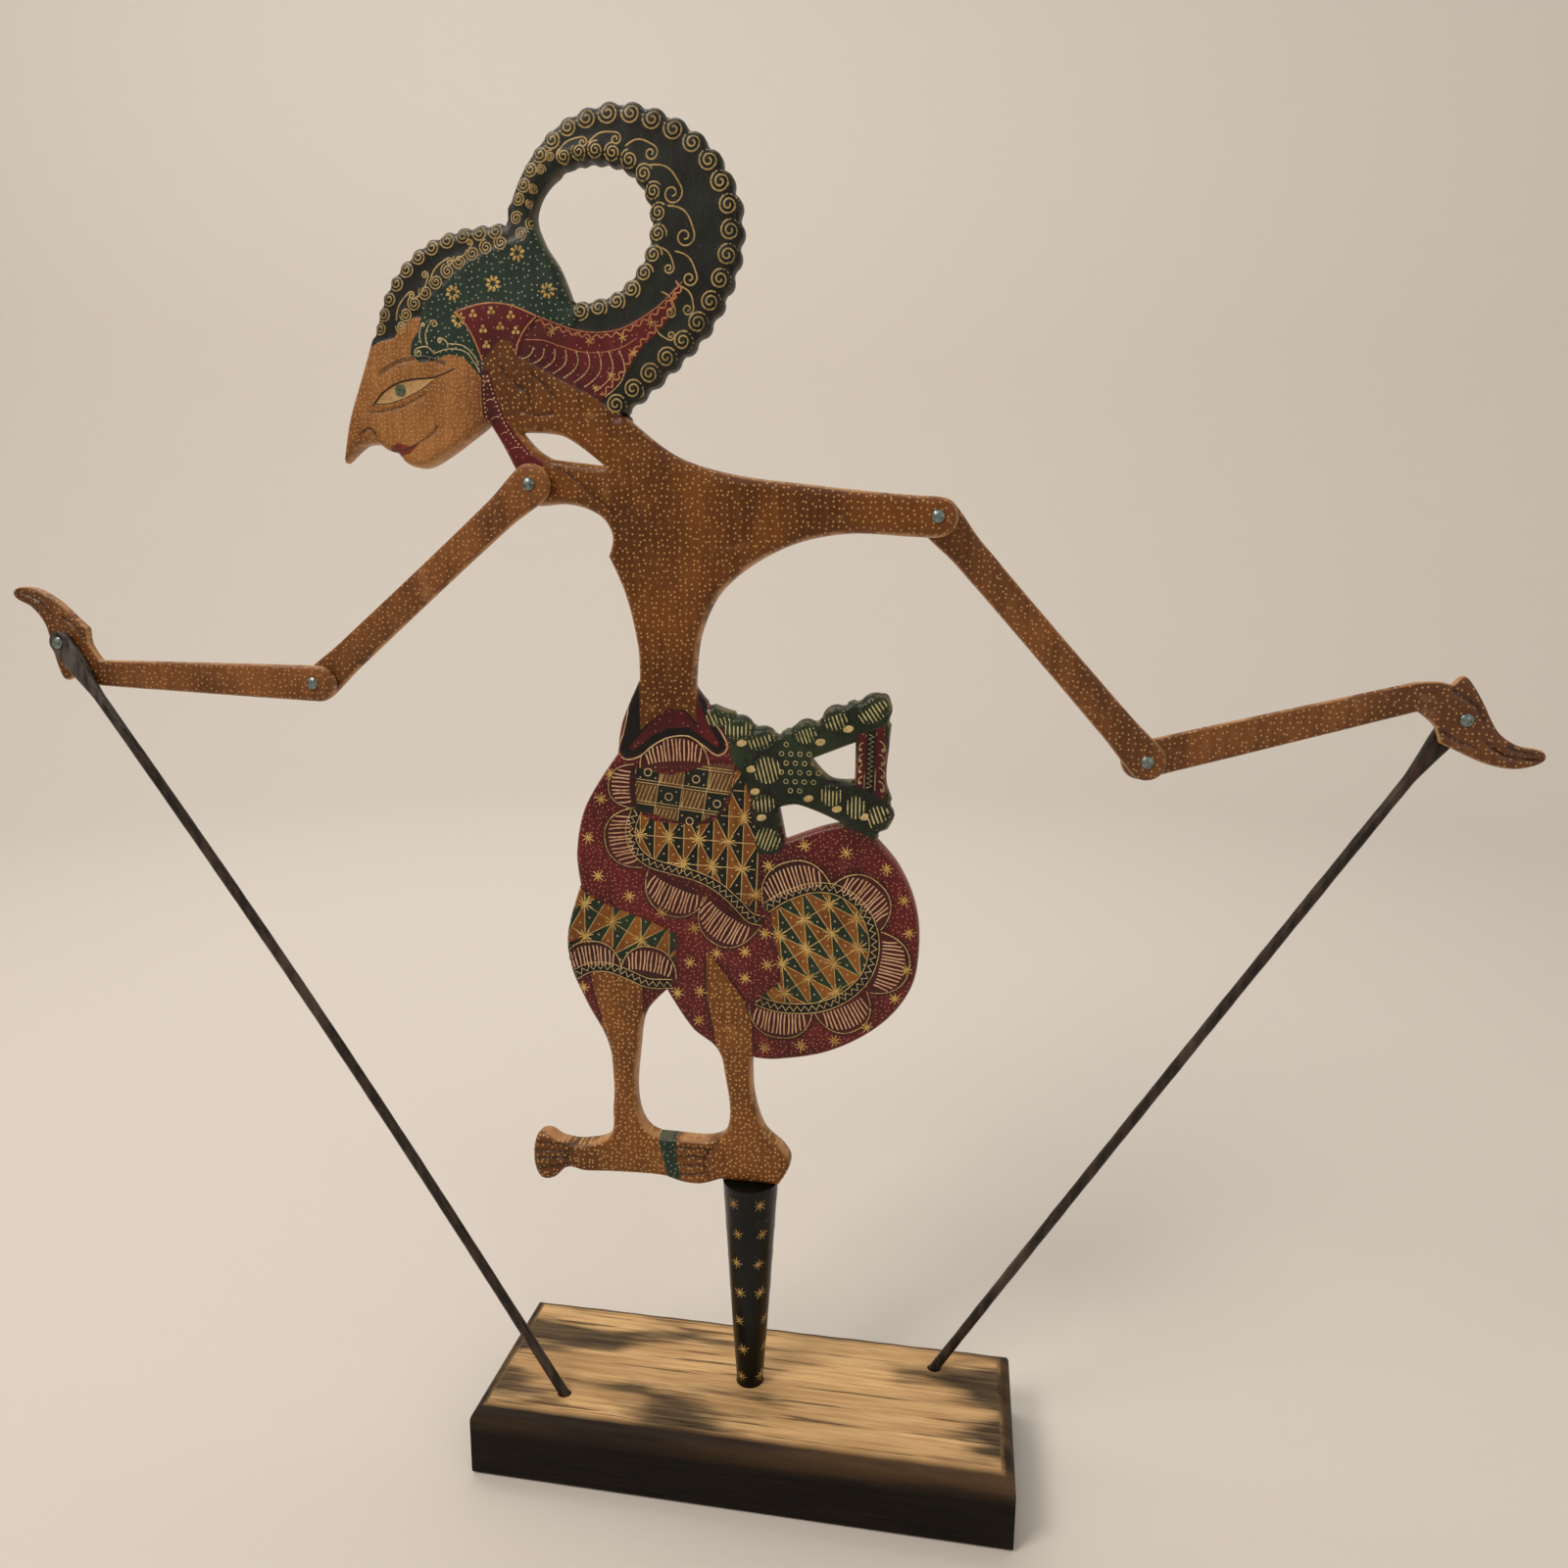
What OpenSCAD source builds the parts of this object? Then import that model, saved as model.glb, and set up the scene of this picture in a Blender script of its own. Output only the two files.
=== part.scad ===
// Flat carved puppet on a stand, worked by two rods.
// X runs to the viewer's right, Y away from the viewer and Z up.
// The origin is the centre of the base board's underside. Lengths are in millimetres.

/* [Base board] */
// Length of the base board
base_w = 262; // [220:1:400]
// Depth of the base board, front to back
base_d = 88; // [72:1:140]
// Height of the base board
base_h = 36; // [30:1:60]
// Radius of its rounded top edges
base_edge_r = 7; // [2:0.5:12]

/* [Stake] */
// Height of the stake from the board's top to the sole
stake_h = 110.5; // [80:0.5:180]
// Radius of the stake where it enters the board
stake_foot_r = 6.5; // [5:0.1:9]
// Radius of the stake under the sole
stake_top_r = 13.5; // [10:0.1:14.5]
// Depth of the socket in the board
socket_depth = 26; // [18:1:28]
// Radius of the tenon that goes up into the heel
tenon_r = 3; // [2:0.1:4]
// Length of that tenon
tenon_len = 20; // [12:1:26]

/* [Figure] */
// Height of the figure from its sole to the top of the headdress
figure_h = 485; // [400:1:600]
// Thickness of the plank that it is carved from
plank_t = 12; // [10:0.5:16]
// Radius of the plank's rounded shoulder ends
shoulder_r = 8.5; // [7:0.1:11]

/* [Arms] */
// Thickness of the four arm laths
arm_t = 5; // [4:0.1:8]
// Shoulder pin to elbow pin
upper_arm_len = 140; // [110:1:180]
// Elbow pin to wrist pin
forearm_len = 130; // [105:1:170]
// Radius of the upper arm's end at the shoulder
upper_arm_r = 9.2; // [7:0.1:12]
// Radius of both arms' ends at the elbow
elbow_r = 8.4; // [7:0.1:12]
// Half the width of the upper arm along its middle
upper_arm_half_w = 7.4; // [5:0.1:10]
// How far the left upper arm hangs below level, in degrees
upper_drop_left = 40; // [20:1:60]
// How far the left forearm rises above level, in degrees
fore_rise_left = 7.5; // [-10:0.5:30]
// How far the right upper arm hangs below level, in degrees
upper_drop_right = 48; // [20:1:60]
// How far the right forearm rises above level, in degrees
fore_rise_right = 9.5; // [-10:0.5:30]

/* [Rods] */
// Radius of a rod's round shaft
rod_r = 2.4; // [1.8:0.1:3.5]
// Radius of its flattened end, around the wrist pin
rod_flat_r = 4.6; // [4.2:0.1:7]
// Thickness of that flattened end
rod_flat_t = 4; // [3:0.1:5]
// Length over which the flattened end narrows to the shaft
rod_neck_len = 30; // [20:1:50]
// Left rod's foot on the board: across, and front to back
rod_foot_left = [-89, -26]; // [-110:1:40]
// Right rod's foot on the board: across, and front to back
rod_foot_right = [92, 24]; // [-40:1:110]
// Depth of the drilled hole under each rod
rod_hole_depth = 20; // [10:1:26]

/* [Rivets] */
// Radius of a rivet's shank
rivet_r = 1.5; // [1:0.1:2]
// Radius of its domed head
rivet_head_r = 2.7; // [2.2:0.1:3.5]
// Height of the head's straight rim
rivet_rim_h = 0.4; // [0.2:0.1:1]
// Height of the dome above the rim
rivet_dome_h = 0.9; // [0.4:0.1:1.4]
// Radius of the hammered tail
rivet_tail_r = 2.3; // [2:0.1:2.8]
// Height of the hammered tail
rivet_tail_h = 0.6; // [0.3:0.1:1]
// Outer radius of the burr washer under the tail
burr_r = 3.2; // [2.8:0.1:4]
// Thickness of the burr washer
burr_t = 0.8; // [0.4:0.1:1.2]
// Depth of the recess that the washer sits in
burr_recess = 1; // [0.5:0.1:1.5]

/* [Fits] */
// Radial clearance of a shank in its hole
shank_clearance = 0.05; // [0.02:0.01:0.1]
// Radial clearance of the stake's foot and tenon
stake_clearance = 0.05; // [0.02:0.01:0.1]
// Gap between pieces that lie one over the other
layer_gap = 0.4; // [0.3:0.05:1]
// Gap under a rivet's head and under its washer
face_gap = 0.1; // [0.05:0.05:0.3]
// Radial clearance of a washer in its recess
burr_clearance = 0.3; // [0.2:0.05:0.6]
// Radial clearance of a rod in its hole
rod_clearance = 0.5; // [0.3:0.1:1]
// Height at which each rod is cut off above the mouth of its hole
rod_tip_gap = 0.5; // [0.4:0.1:1]

/* [Hidden] */

$fn = 48;
// Cutters run this far past the faces that they cut
past = 1;
// Straight steps that stand for one smooth stretch between two outline points
curve_steps = 4;
// The figure's outline is drawn at this height, and then scaled to figure_h
drawn_h = 485;
figure_scale = figure_h / drawn_h;
sole_z = base_h + stake_h;

// Pins, as [across, up]
shoulder_left = on_figure([-99, 329.5]);
shoulder_right = on_figure([81, 315.5]);
elbow_left = along(shoulder_left, -1, -upper_drop_left, upper_arm_len);
elbow_right = along(shoulder_right, 1, -upper_drop_right, upper_arm_len);
wrist_left = along(elbow_left, -1, fore_rise_left, forearm_len);
wrist_right = along(elbow_right, 1, fore_rise_right, forearm_len);

// The pieces lie in layers in front of the plank on the left and behind it on the right.
// Distances from the plank's middle to the near faces of the upper arm and the forearm,
// and to the rod's axis and the far face of its flattened end
upper_near = plank_t / 2 + layer_gap;
fore_near = upper_near + arm_t + layer_gap;
rod_mid = fore_near + arm_t + layer_gap + rod_r;
rod_far = rod_mid + rod_flat_t / 2;

// Front and rear face of the stack that each rivet holds, as [front, rear]
span_shoulder_left = [-(upper_near + arm_t), plank_t / 2];
span_elbow_left = [-(fore_near + arm_t), -upper_near];
span_wrist_left = [-rod_far, -fore_near];
span_shoulder_right = [-plank_t / 2, upper_near + arm_t];
span_elbow_right = [upper_near, fore_near + arm_t];
span_wrist_right = [fore_near, rod_far];

// A point of the drawn figure, measured from the middle of its sole
function on_figure(q) = [q[0] * figure_scale, sole_z + q[1] * figure_scale];
// The point at a distance from p, to the left (side -1) or the right (side 1), rising by an angle
function along(p, side, rise, distance) = p + distance * [side * cos(rise), sin(rise)];

// Outline points are [across, up]. A third value marks a sharp corner.
function point(p, i) = [p[i % len(p)][0], p[i % len(p)][1]];
function is_corner(p, i) = len(p[i % len(p)]) > 2;
function heading(p, i) =
    let(chord = point(p, i + 1) - point(p, i + len(p) - 1))
    is_corner(p, i) ? [0, 0] : chord / norm(chord);
function on_curve(a, b, leave, arrive, t) =
    let(s = t * t * (3 - 2 * t), reach = norm(b - a))
    a + (b - a) * s + reach * (leave * t * (1 - t) * (1 - t) - arrive * t * t * (1 - t));
function smooth(p) = [
    for (i = [0:len(p) - 1])
        for (k = [0:(is_corner(p, i) && is_corner(p, i + 1) ? 0 : curve_steps - 1)])
            on_curve(point(p, i), point(p, i + 1), heading(p, i), heading(p, i + 1), k / curve_steps)
];
function arc(centre, r, from, to, steps) = [
    for (k = [0:steps])
        let(angle = from + (to - from) * k / steps)
        centre + r * [cos(angle), sin(angle)]
];

// The figure's outline, clockwise from the hairline over the forehead
hair_front = [
    [-173.5, 396, 0], [-168.5, 409.5], [-160, 422.5], [-146.5, 433], [-129, 438.5], [-108, 440, 0],
];
loop_outer = [
    [-107.5, 448], [-98, 465.5], [-82, 479.5], [-58, 485], [-34.5, 478.5], [-16.5, 465],
    [-6, 446], [-4.5, 429.5], [-8, 414], [-18.5, 394.5], [-35, 378], [-57.5, 359.5, 0],
];
shoulder_line = [[-35, 342.5], [-9, 334], [28, 329], [55, 326], [74, 324.5, 0]];
right_side = [
    [74, 307.5, 0], [40, 308.5], [13, 302], [-12.5, 285], [-23.5, 264], [-26, 241, 0],
];
sash = [
    [-18.5, 232.5], [-2.5, 227], [12, 221], [22, 227], [28, 226.5], [35, 232],
    [54, 239], [63.5, 241, 0], [62.5, 217.5], [61.5, 200.5], [65, 186.5], [58, 173.5, 0],
];
train = [
    [68, 162], [76, 144.5], [78.5, 125.5], [75.5, 104.5], [62.5, 86], [39, 71], [13, 64.5], [1, 64.5, 0],
];
heel = [[1.5, 46], [7, 28], [17, 18.5], [20, 11.5], [14.5, 0, 0]];
sole = [
    [-14.5, 0, 0], [-24, -3.5], [-33, -3.5], [-44, -1], [-69, -1.5], [-84, -2.5], [-92.5, -1.5],
    [-100.5, -8], [-107, -8], [-110.5, 1], [-108.5, 14.5], [-103, 16.5], [-96, 13],
    [-84, 12.5], [-70.5, 18],
];
front_leg = [
    [-68.5, 33.5], [-68, 46.5], [-70.5, 67], [-80.5, 86], [-88.5, 105], [-89.5, 121.5], [-82.5, 145.5, 0],
];
hip = [[-84, 161.5], [-79, 184], [-63, 209, 0], [-60.5, 224], [-52, 243.5, 0]];
left_side = [
    [-52.5, 258.5], [-58, 282], [-65.5, 298.5, 0], [-63.5, 307.5], [-69.5, 316.5], [-84, 321.5],
    [-99, 320.5, 0],
];
neck_strap = [[-108, 336, 0], [-114, 347.5], [-120, 357, 0]];
jaw = [[-131, 349.5], [-142, 342.5], [-152, 338], [-160, 339.5], [-164.5, 344.5, 0], [-169, 345.5]];
nose = [[-173.5, 348.5, 0], [-182, 348], [-191.5, 340.5, 0], [-187.5, 359], [-179.5, 380]];

// Openings through the plank
loop_opening = [
    [-96, 444.5], [-87.5, 457], [-70.5, 462], [-54.5, 458], [-46, 447], [-44.5, 433.5],
    [-49.5, 420], [-61.5, 409.5], [-80, 406.5, 0], [-86, 421.5], [-93, 432.5],
];
neck_opening = [[-105.5, 353, 0], [-86, 351], [-67, 338, 0], [-91, 341, 0], [-98.5, 345.5]];
leg_opening = [
    [-40.5, 95.5, 0], [-51.5, 82.5], [-55, 63.5], [-56.5, 37], [-50.5, 22.5], [-37, 20], [-15, 22],
    [-10, 32.5], [-12, 53], [-16, 67.5], [-28, 77],
];
sash_opening = [[47.5, 217.5, 0], [28, 209.5, 0], [36.5, 201], [47.5, 200.5, 0]];
sash_gap = [[13, 186.5, 0], [22, 188], [42, 180.5, 0], [32.5, 178], [16, 171.5, 0]];

figure_outline = concat(
    hair_front, loop_outer, shoulder_line, right_side, sash, train, heel, sole,
    front_leg, hip, left_side, neck_strap, jaw, nose
);
figure_openings = [loop_opening, neck_opening, leg_opening, sash_opening, sash_gap];

// The hand, measured from the wrist pin: along the arm, and towards the palm's side
hand = [
    [-18, -18.5, 0], [-9, -17.5], [-4, -15.5, 0], [0.5, -18.5], [4, -14.5], [8.5, -3.5, 0],
    [12.5, 7], [19, 13.5], [30, 19.5], [21, 23.8], [8, 20.5], [-6, 11.5], [-10.5, 8.5, 0],
    [-12, 1], [-18, -6, 0],
];
forearm_outline = concat(
    arc([-2, 0], elbow_r, 85, 265, 12),
    [for (q = smooth(hand)) q + [forearm_len, 0]]
);

// A point of a drawn arm, placed from its pin. The right hand curls down and the left one up.
function on_arm(q, pin, side, rise) = pin + [
    side * q[0] * cos(rise) + q[1] * sin(rise),
    q[0] * sin(rise) - side * q[1] * cos(rise)
];

// Front face of a piece whose near and far faces lie this far from the plank's middle
function front(side, near, thick) = side < 0 ? -(near + thick) : near;

// A flat piece, with its front face at y
module slab(outline, y, thick) {
    translate([0, y + thick, 0]) rotate([90, 0, 0]) linear_extrude(thick) polygon(outline);
}

// A disc or a hole across the layers, from y over a length
module cross_pin(pin, y, r, length) {
    translate([pin[0], y, pin[1]]) rotate([-90, 0, 0]) cylinder(r = r, h = length);
}

// The hole for one rivet through its whole stack, with the washer's recess in the last piece
module rivet_hole(pin, span) {
    cross_pin(pin, span[0] - past, rivet_r + shank_clearance, span[1] - span[0] + 2 * past);
    cross_pin(pin, span[1] - burr_recess, burr_r + burr_clearance, burr_recess + past);
}

module rivet(pin, span) {
    dome_r = (rivet_head_r * rivet_head_r + rivet_dome_h * rivet_dome_h) / (2 * rivet_dome_h);
    under_head = span[0] - face_gap;
    dome_top = under_head - rivet_rim_h - rivet_dome_h;
    tail_y = span[1] - burr_recess + face_gap + burr_t;
    // The shank reaches into the rim and the tail, so that they are one solid
    shank_y = under_head - rivet_rim_h / 2;
    shank_end = tail_y + rivet_tail_h / 2;
    color("lightslategray") {
        cross_pin(pin, shank_y, rivet_r, shank_end - shank_y);
        cross_pin(pin, under_head - rivet_rim_h, rivet_head_r, rivet_rim_h);
        intersection() {
            translate([pin[0], dome_top + dome_r, pin[1]]) sphere(dome_r);
            cross_pin(pin, dome_top - past, rivet_head_r, rivet_dome_h + past);
        }
        cross_pin(pin, tail_y, rivet_tail_r, rivet_tail_h);
    }
}

module burr(pin, span) {
    washer_y = span[1] - burr_recess + face_gap;
    color("slategray") difference() {
        cross_pin(pin, washer_y, burr_r, burr_t);
        cross_pin(pin, washer_y - past, rivet_r + shank_clearance, burr_t + 2 * past);
    }
}

// The two ends of a rod's axis: level with the wrist pin, and where it meets the board
function rod_top(wrist, side) = [wrist[0], side * rod_mid, wrist[1]];
function rod_foot(foot) = [foot[0], foot[1], base_h];

module along_rod(wrist, foot, side) {
    run = rod_top(wrist, side) - rod_foot(foot);
    translate(rod_foot(foot)) rotate([0, acos(run[2] / norm(run)), atan2(run[1], run[0])]) children();
}

module base_board() {
    socket_z = base_h - socket_depth;
    color("peru") difference() {
        intersection() {
            rounded_bar(base_w, base_d);
            rotate([0, 0, 90]) rounded_bar(base_d, base_w);
        }
        translate([0, 0, socket_z]) cylinder(r = stake_foot_r + stake_clearance, h = socket_depth + past);
        along_rod(wrist_left, rod_foot_left, -1) rod_hole();
        along_rod(wrist_right, rod_foot_right, 1) rod_hole();
    }
}

// A bar along X whose two long top edges are rounded
module rounded_bar(length, depth) {
    rotate([90, 0, 90]) translate([0, 0, -length / 2]) linear_extrude(length) {
        translate([-depth / 2, 0]) square([depth, base_h - base_edge_r]);
        translate([base_edge_r - depth / 2, 0]) square([depth - 2 * base_edge_r, base_h]);
        for (s = [-1, 1])
            translate([s * (depth / 2 - base_edge_r), base_h - base_edge_r]) circle(base_edge_r);
    }
}

module rod_hole() {
    translate([0, 0, -rod_hole_depth]) cylinder(r = rod_r + rod_clearance, h = 2 * rod_hole_depth);
}

module stake() {
    color("darkslategray") {
        translate([0, 0, base_h - socket_depth]) cylinder(r = stake_foot_r, h = socket_depth);
        translate([0, 0, base_h]) cylinder(r1 = stake_foot_r, r2 = stake_top_r, h = stake_h);
        translate([0, 0, sole_z]) cylinder(r = tenon_r, h = tenon_len);
    }
}

module figure_panel() {
    color("sienna") difference() {
        union() {
            slab([for (q = smooth(figure_outline)) on_figure(q)], -plank_t / 2, plank_t);
            cross_pin(shoulder_left, -plank_t / 2, shoulder_r, plank_t);
            cross_pin(shoulder_right, -plank_t / 2, shoulder_r, plank_t);
        }
        for (opening = figure_openings)
            slab([for (q = smooth(opening)) on_figure(q)], -plank_t / 2 - past, plank_t + 2 * past);
        rivet_hole(shoulder_left, span_shoulder_left);
        rivet_hole(shoulder_right, span_shoulder_right);
        translate([0, 0, sole_z - past])
            cylinder(r = tenon_r + stake_clearance, h = past + tenon_len + layer_gap);
    }
}

module upper_arm(pin, elbow, side, shoulder_span, elbow_span) {
    y = front(side, upper_near, arm_t);
    across = (elbow - pin) / norm(elbow - pin);
    edge = [-across[1], across[0]];
    // The ends narrow to the middle over twice their own radius
    waist = 2 * upper_arm_r;
    // The straight edges start inside the round ends, and leave them at a clear angle
    shoulder_half_w = (upper_arm_r + upper_arm_half_w) / 2;
    elbow_half_w = (elbow_r + upper_arm_half_w) / 2;
    color("sienna") difference() {
        union() {
            slab([
                pin + edge * shoulder_half_w, pin + across * waist + edge * upper_arm_half_w,
                elbow - across * waist + edge * upper_arm_half_w, elbow + edge * elbow_half_w,
                elbow - edge * elbow_half_w, elbow - across * waist - edge * upper_arm_half_w,
                pin + across * waist - edge * upper_arm_half_w, pin - edge * shoulder_half_w
            ], y, arm_t);
            cross_pin(pin, y, upper_arm_r, arm_t);
            cross_pin(elbow, y, elbow_r, arm_t);
        }
        rivet_hole(pin, shoulder_span);
        rivet_hole(elbow, elbow_span);
    }
}

module forearm(elbow, wrist, side, rise, elbow_span, wrist_span) {
    color("sienna") difference() {
        slab(
            [for (q = forearm_outline) on_arm(q, elbow, side, rise)],
            front(side, fore_near, arm_t), arm_t
        );
        rivet_hole(elbow, elbow_span);
        rivet_hole(wrist, wrist_span);
    }
}

module rod(wrist, foot, side, wrist_span) {
    run = rod_top(wrist, side) - rod_foot(foot);
    lean = [run[0], run[2]] / norm([run[0], run[2]]);
    edge = [-lean[1], lean[0]];
    shaft_len = norm(run) - 2 * rod_flat_r;
    flat_y = side * rod_mid - rod_flat_t / 2;
    // The flattened end's straight edges also start inside its round end
    flat_half_w = 0.88 * rod_flat_r;
    neck = wrist - lean * rod_neck_len;
    color("black") difference() {
        union() {
            cross_pin(wrist, flat_y, rod_flat_r, rod_flat_t);
            slab([
                wrist + edge * flat_half_w, wrist - edge * flat_half_w,
                neck - edge * rod_r / 2, neck + edge * rod_r / 2
            ], flat_y, rod_flat_t);
            along_rod(wrist, foot, side) {
                translate([0, 0, -rod_hole_depth])
                    cylinder(r = rod_r, h = shaft_len + rod_hole_depth - rod_flat_r);
                translate([0, 0, shaft_len - rod_flat_r])
                    cylinder(r1 = rod_r, r2 = rod_r / 2, h = rod_flat_r);
            }
        }
        rivet_hole(wrist, wrist_span);
        translate([foot[0] - base_d / 2, foot[1] - base_d / 2, base_h + rod_tip_gap - base_d])
            cube(base_d);
    }
}

module upper_arm_left() { upper_arm(shoulder_left, elbow_left, -1, span_shoulder_left, span_elbow_left); }
module upper_arm_right() { upper_arm(shoulder_right, elbow_right, 1, span_shoulder_right, span_elbow_right); }
module forearm_left() {
    forearm(elbow_left, wrist_left, -1, fore_rise_left, span_elbow_left, span_wrist_left);
}
module forearm_right() {
    forearm(elbow_right, wrist_right, 1, fore_rise_right, span_elbow_right, span_wrist_right);
}
module rod_left() { rod(wrist_left, rod_foot_left, -1, span_wrist_left); }
module rod_right() { rod(wrist_right, rod_foot_right, 1, span_wrist_right); }
module rivet_shoulder_left() { rivet(shoulder_left, span_shoulder_left); }
module rivet_elbow_left() { rivet(elbow_left, span_elbow_left); }
module rivet_wrist_left() { rivet(wrist_left, span_wrist_left); }
module rivet_shoulder_right() { rivet(shoulder_right, span_shoulder_right); }
module rivet_elbow_right() { rivet(elbow_right, span_elbow_right); }
module rivet_wrist_right() { rivet(wrist_right, span_wrist_right); }
module burr_shoulder_left() { burr(shoulder_left, span_shoulder_left); }
module burr_elbow_left() { burr(elbow_left, span_elbow_left); }
module burr_wrist_left() { burr(wrist_left, span_wrist_left); }
module burr_shoulder_right() { burr(shoulder_right, span_shoulder_right); }
module burr_elbow_right() { burr(elbow_right, span_elbow_right); }
module burr_wrist_right() { burr(wrist_right, span_wrist_right); }

base_board();
stake();
figure_panel();
upper_arm_left();
forearm_left();
rod_left();
upper_arm_right();
forearm_right();
rod_right();
rivet_shoulder_left();
rivet_elbow_left();
rivet_wrist_left();
rivet_shoulder_right();
rivet_elbow_right();
rivet_wrist_right();
burr_shoulder_left();
burr_elbow_left();
burr_wrist_left();
burr_shoulder_right();
burr_elbow_right();
burr_wrist_right();
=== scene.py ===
import math

import bpy
import numpy as np
from mathutils import Matrix, Vector
from mathutils.bvhtree import BVHTree
from mathutils.geometry import delaunay_2d_cdt


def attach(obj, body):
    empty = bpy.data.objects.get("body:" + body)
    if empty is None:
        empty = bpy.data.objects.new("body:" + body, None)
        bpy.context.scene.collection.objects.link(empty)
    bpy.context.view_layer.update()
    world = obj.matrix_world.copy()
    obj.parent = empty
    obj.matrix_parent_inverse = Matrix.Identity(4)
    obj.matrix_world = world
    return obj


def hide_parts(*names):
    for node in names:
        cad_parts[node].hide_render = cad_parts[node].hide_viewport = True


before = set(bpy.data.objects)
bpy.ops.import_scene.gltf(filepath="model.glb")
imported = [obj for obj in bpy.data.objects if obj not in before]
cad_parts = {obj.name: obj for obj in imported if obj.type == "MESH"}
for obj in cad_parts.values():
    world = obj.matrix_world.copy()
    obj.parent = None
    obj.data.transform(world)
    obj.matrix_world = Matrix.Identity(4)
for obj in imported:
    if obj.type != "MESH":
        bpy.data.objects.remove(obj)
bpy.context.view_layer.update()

# ---- Studio ----
# A plain pale floor that curves up into a wall all round the table-top figure.
# One broad lamp stands high on the left, a weaker one fills from the right.
MM = 0.001


def tint(red, green, blue):
    """A colour from its everyday 0 to 255 values."""
    parts = [v / 255 for v in (red, green, blue)]
    return [p / 12.92 if p < 0.04045 else ((p + 0.055) / 1.055) ** 2.4 for p in parts] + [1.0]


def finish_for(name, roughness, coat=0.0, shine=0.25):
    """A new finish, with its node tree and its shader."""
    made = bpy.data.materials.new(name)
    made.use_nodes = True
    shader = made.node_tree.nodes["Principled BSDF"]
    shader.inputs["Roughness"].default_value = roughness
    shader.inputs["Specular IOR Level"].default_value = shine
    shader.inputs["Coat Weight"].default_value = coat
    shader.inputs["Coat Roughness"].default_value = 0.25
    return made, made.node_tree, shader


def mesh_piece(name, verts, faces, finishes, face_finish=None, sharp_deg=45):
    """A mesh object, smooth except along edges sharper than the given angle."""
    mesh = bpy.data.meshes.new(name)
    mesh.from_pydata([tuple(v) for v in verts], [], [tuple(f) for f in faces])
    for finish in finishes:
        mesh.materials.append(finish)
    if face_finish is not None:
        mesh.polygons.foreach_set("material_index", face_finish)
    mesh.polygons.foreach_set("use_smooth", [True] * len(mesh.polygons))
    mesh.update()
    mesh.set_sharp_from_angle(angle=math.radians(sharp_deg))
    piece = bpy.data.objects.new(name, mesh)
    bpy.context.scene.collection.objects.link(piece)
    return piece


def turned(profile, steps):
    """Vertices and faces of a shape turned about the Z axis, from its radii and heights."""
    verts = []
    for radius, height in profile:
        for k in range(steps):
            a = 2 * math.pi * k / steps
            verts.append((radius * math.cos(a), radius * math.sin(a), height))
    faces = []
    for row in range(len(profile) - 1):
        for k in range(steps):
            n = (k + 1) % steps
            here, above = row * steps, (row + 1) * steps
            faces.append((here + k, here + n, above + n, above + k))
    return verts, faces


floor_r, sweep_r, wall_top = 1.9, 1.1, 3.4
sweep = [(0.001, 0), (0.6, 0), (floor_r, 0)]
for k in range(1, 13):
    a = math.radians(90 * k / 12)
    sweep.append((floor_r + sweep_r * math.sin(a), sweep_r * (1 - math.cos(a))))
sweep.append((floor_r + sweep_r, wall_top))
backdrop_finish, tree, shader = finish_for("studio_paper", 0.9)
shader.inputs["Base Color"].default_value = tint(222, 217, 210)
backdrop = mesh_piece("studio_sweep", *turned(sweep, 96), [backdrop_finish])
backdrop.visible_shadow = False

world = bpy.data.worlds.new("studio_air")
bpy.context.scene.world = world
world.use_nodes = True
world.node_tree.nodes["Background"].inputs["Color"].default_value = tint(255, 250, 245)
world.node_tree.nodes["Background"].inputs["Strength"].default_value = 0.53


def lamp(name, place, aim, size, watts, colour):
    """A square soft light turned towards a point."""
    data = bpy.data.lights.new(name, "AREA")
    data.shape = "SQUARE"
    data.size = size
    data.energy = watts
    data.color = colour[:3]
    made = bpy.data.objects.new(name, data)
    made.location = place
    made.rotation_mode = "QUATERNION"
    made.rotation_quaternion = (Vector(aim) - Vector(place)).to_track_quat("-Z", "Y")
    bpy.context.scene.collection.objects.link(made)


lamp("key_lamp", (-0.8, -0.9, 1.6), (0, 0, 0.3), 0.6, 15, tint(255, 243, 230))
lamp("fill_lamp", (1.2, -1.2, 0.9), (0, 0, 0.35), 1.0, 3, tint(255, 248, 242))
lamp("wall_lamp", (-0.7, 0.7, 2.2), (-0.2, 3.0, 0.5), 1.8, 26, tint(255, 249, 242))

# The eye stands close in front, a little to the right, and looks slightly down and to the left
lens_mm, film_mm = 24.86, 36
turn_deg, dip_deg, roll_deg = 9.32, -9.99, -0.5
eye_place = (0.0938, -0.4809, 0.4294)
camera_data = bpy.data.cameras.new("eye")
camera_data.lens = lens_mm
camera_data.sensor_width = film_mm
camera = bpy.data.objects.new("eye", camera_data)
bpy.context.scene.collection.objects.link(camera)
look = Matrix.Rotation(math.radians(turn_deg), 4, "Z")
look = look @ Matrix.Rotation(math.radians(dip_deg), 4, "X")
look = look @ Matrix.Rotation(math.radians(roll_deg), 4, "Y")
look = look @ Matrix.Rotation(math.radians(90), 4, "X")
camera.matrix_world = Matrix.Translation(eye_place) @ look
bpy.context.scene.camera = camera
bpy.context.scene.view_settings.view_transform = "Standard"

# ---- Base board ----
# A plank of hardwood, its top edges run round with a quarter-round bit that leaves a small step.
# It is stained almost black, and the stain is rubbed off the top down to pale wood.
base_w, base_d, base_h = 262, 88, 36
edge_r = 6.2
socket_r = 6.9
rod_hole_r = 2.9
rod_foot_left = Vector((-89, -26, base_h))
rod_foot_right = Vector((92, 24, base_h))
wrist_left = Vector((-335.1, -19.6, 403.0))
wrist_right = Vector((302.9, 19.6, 379.4))


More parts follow.
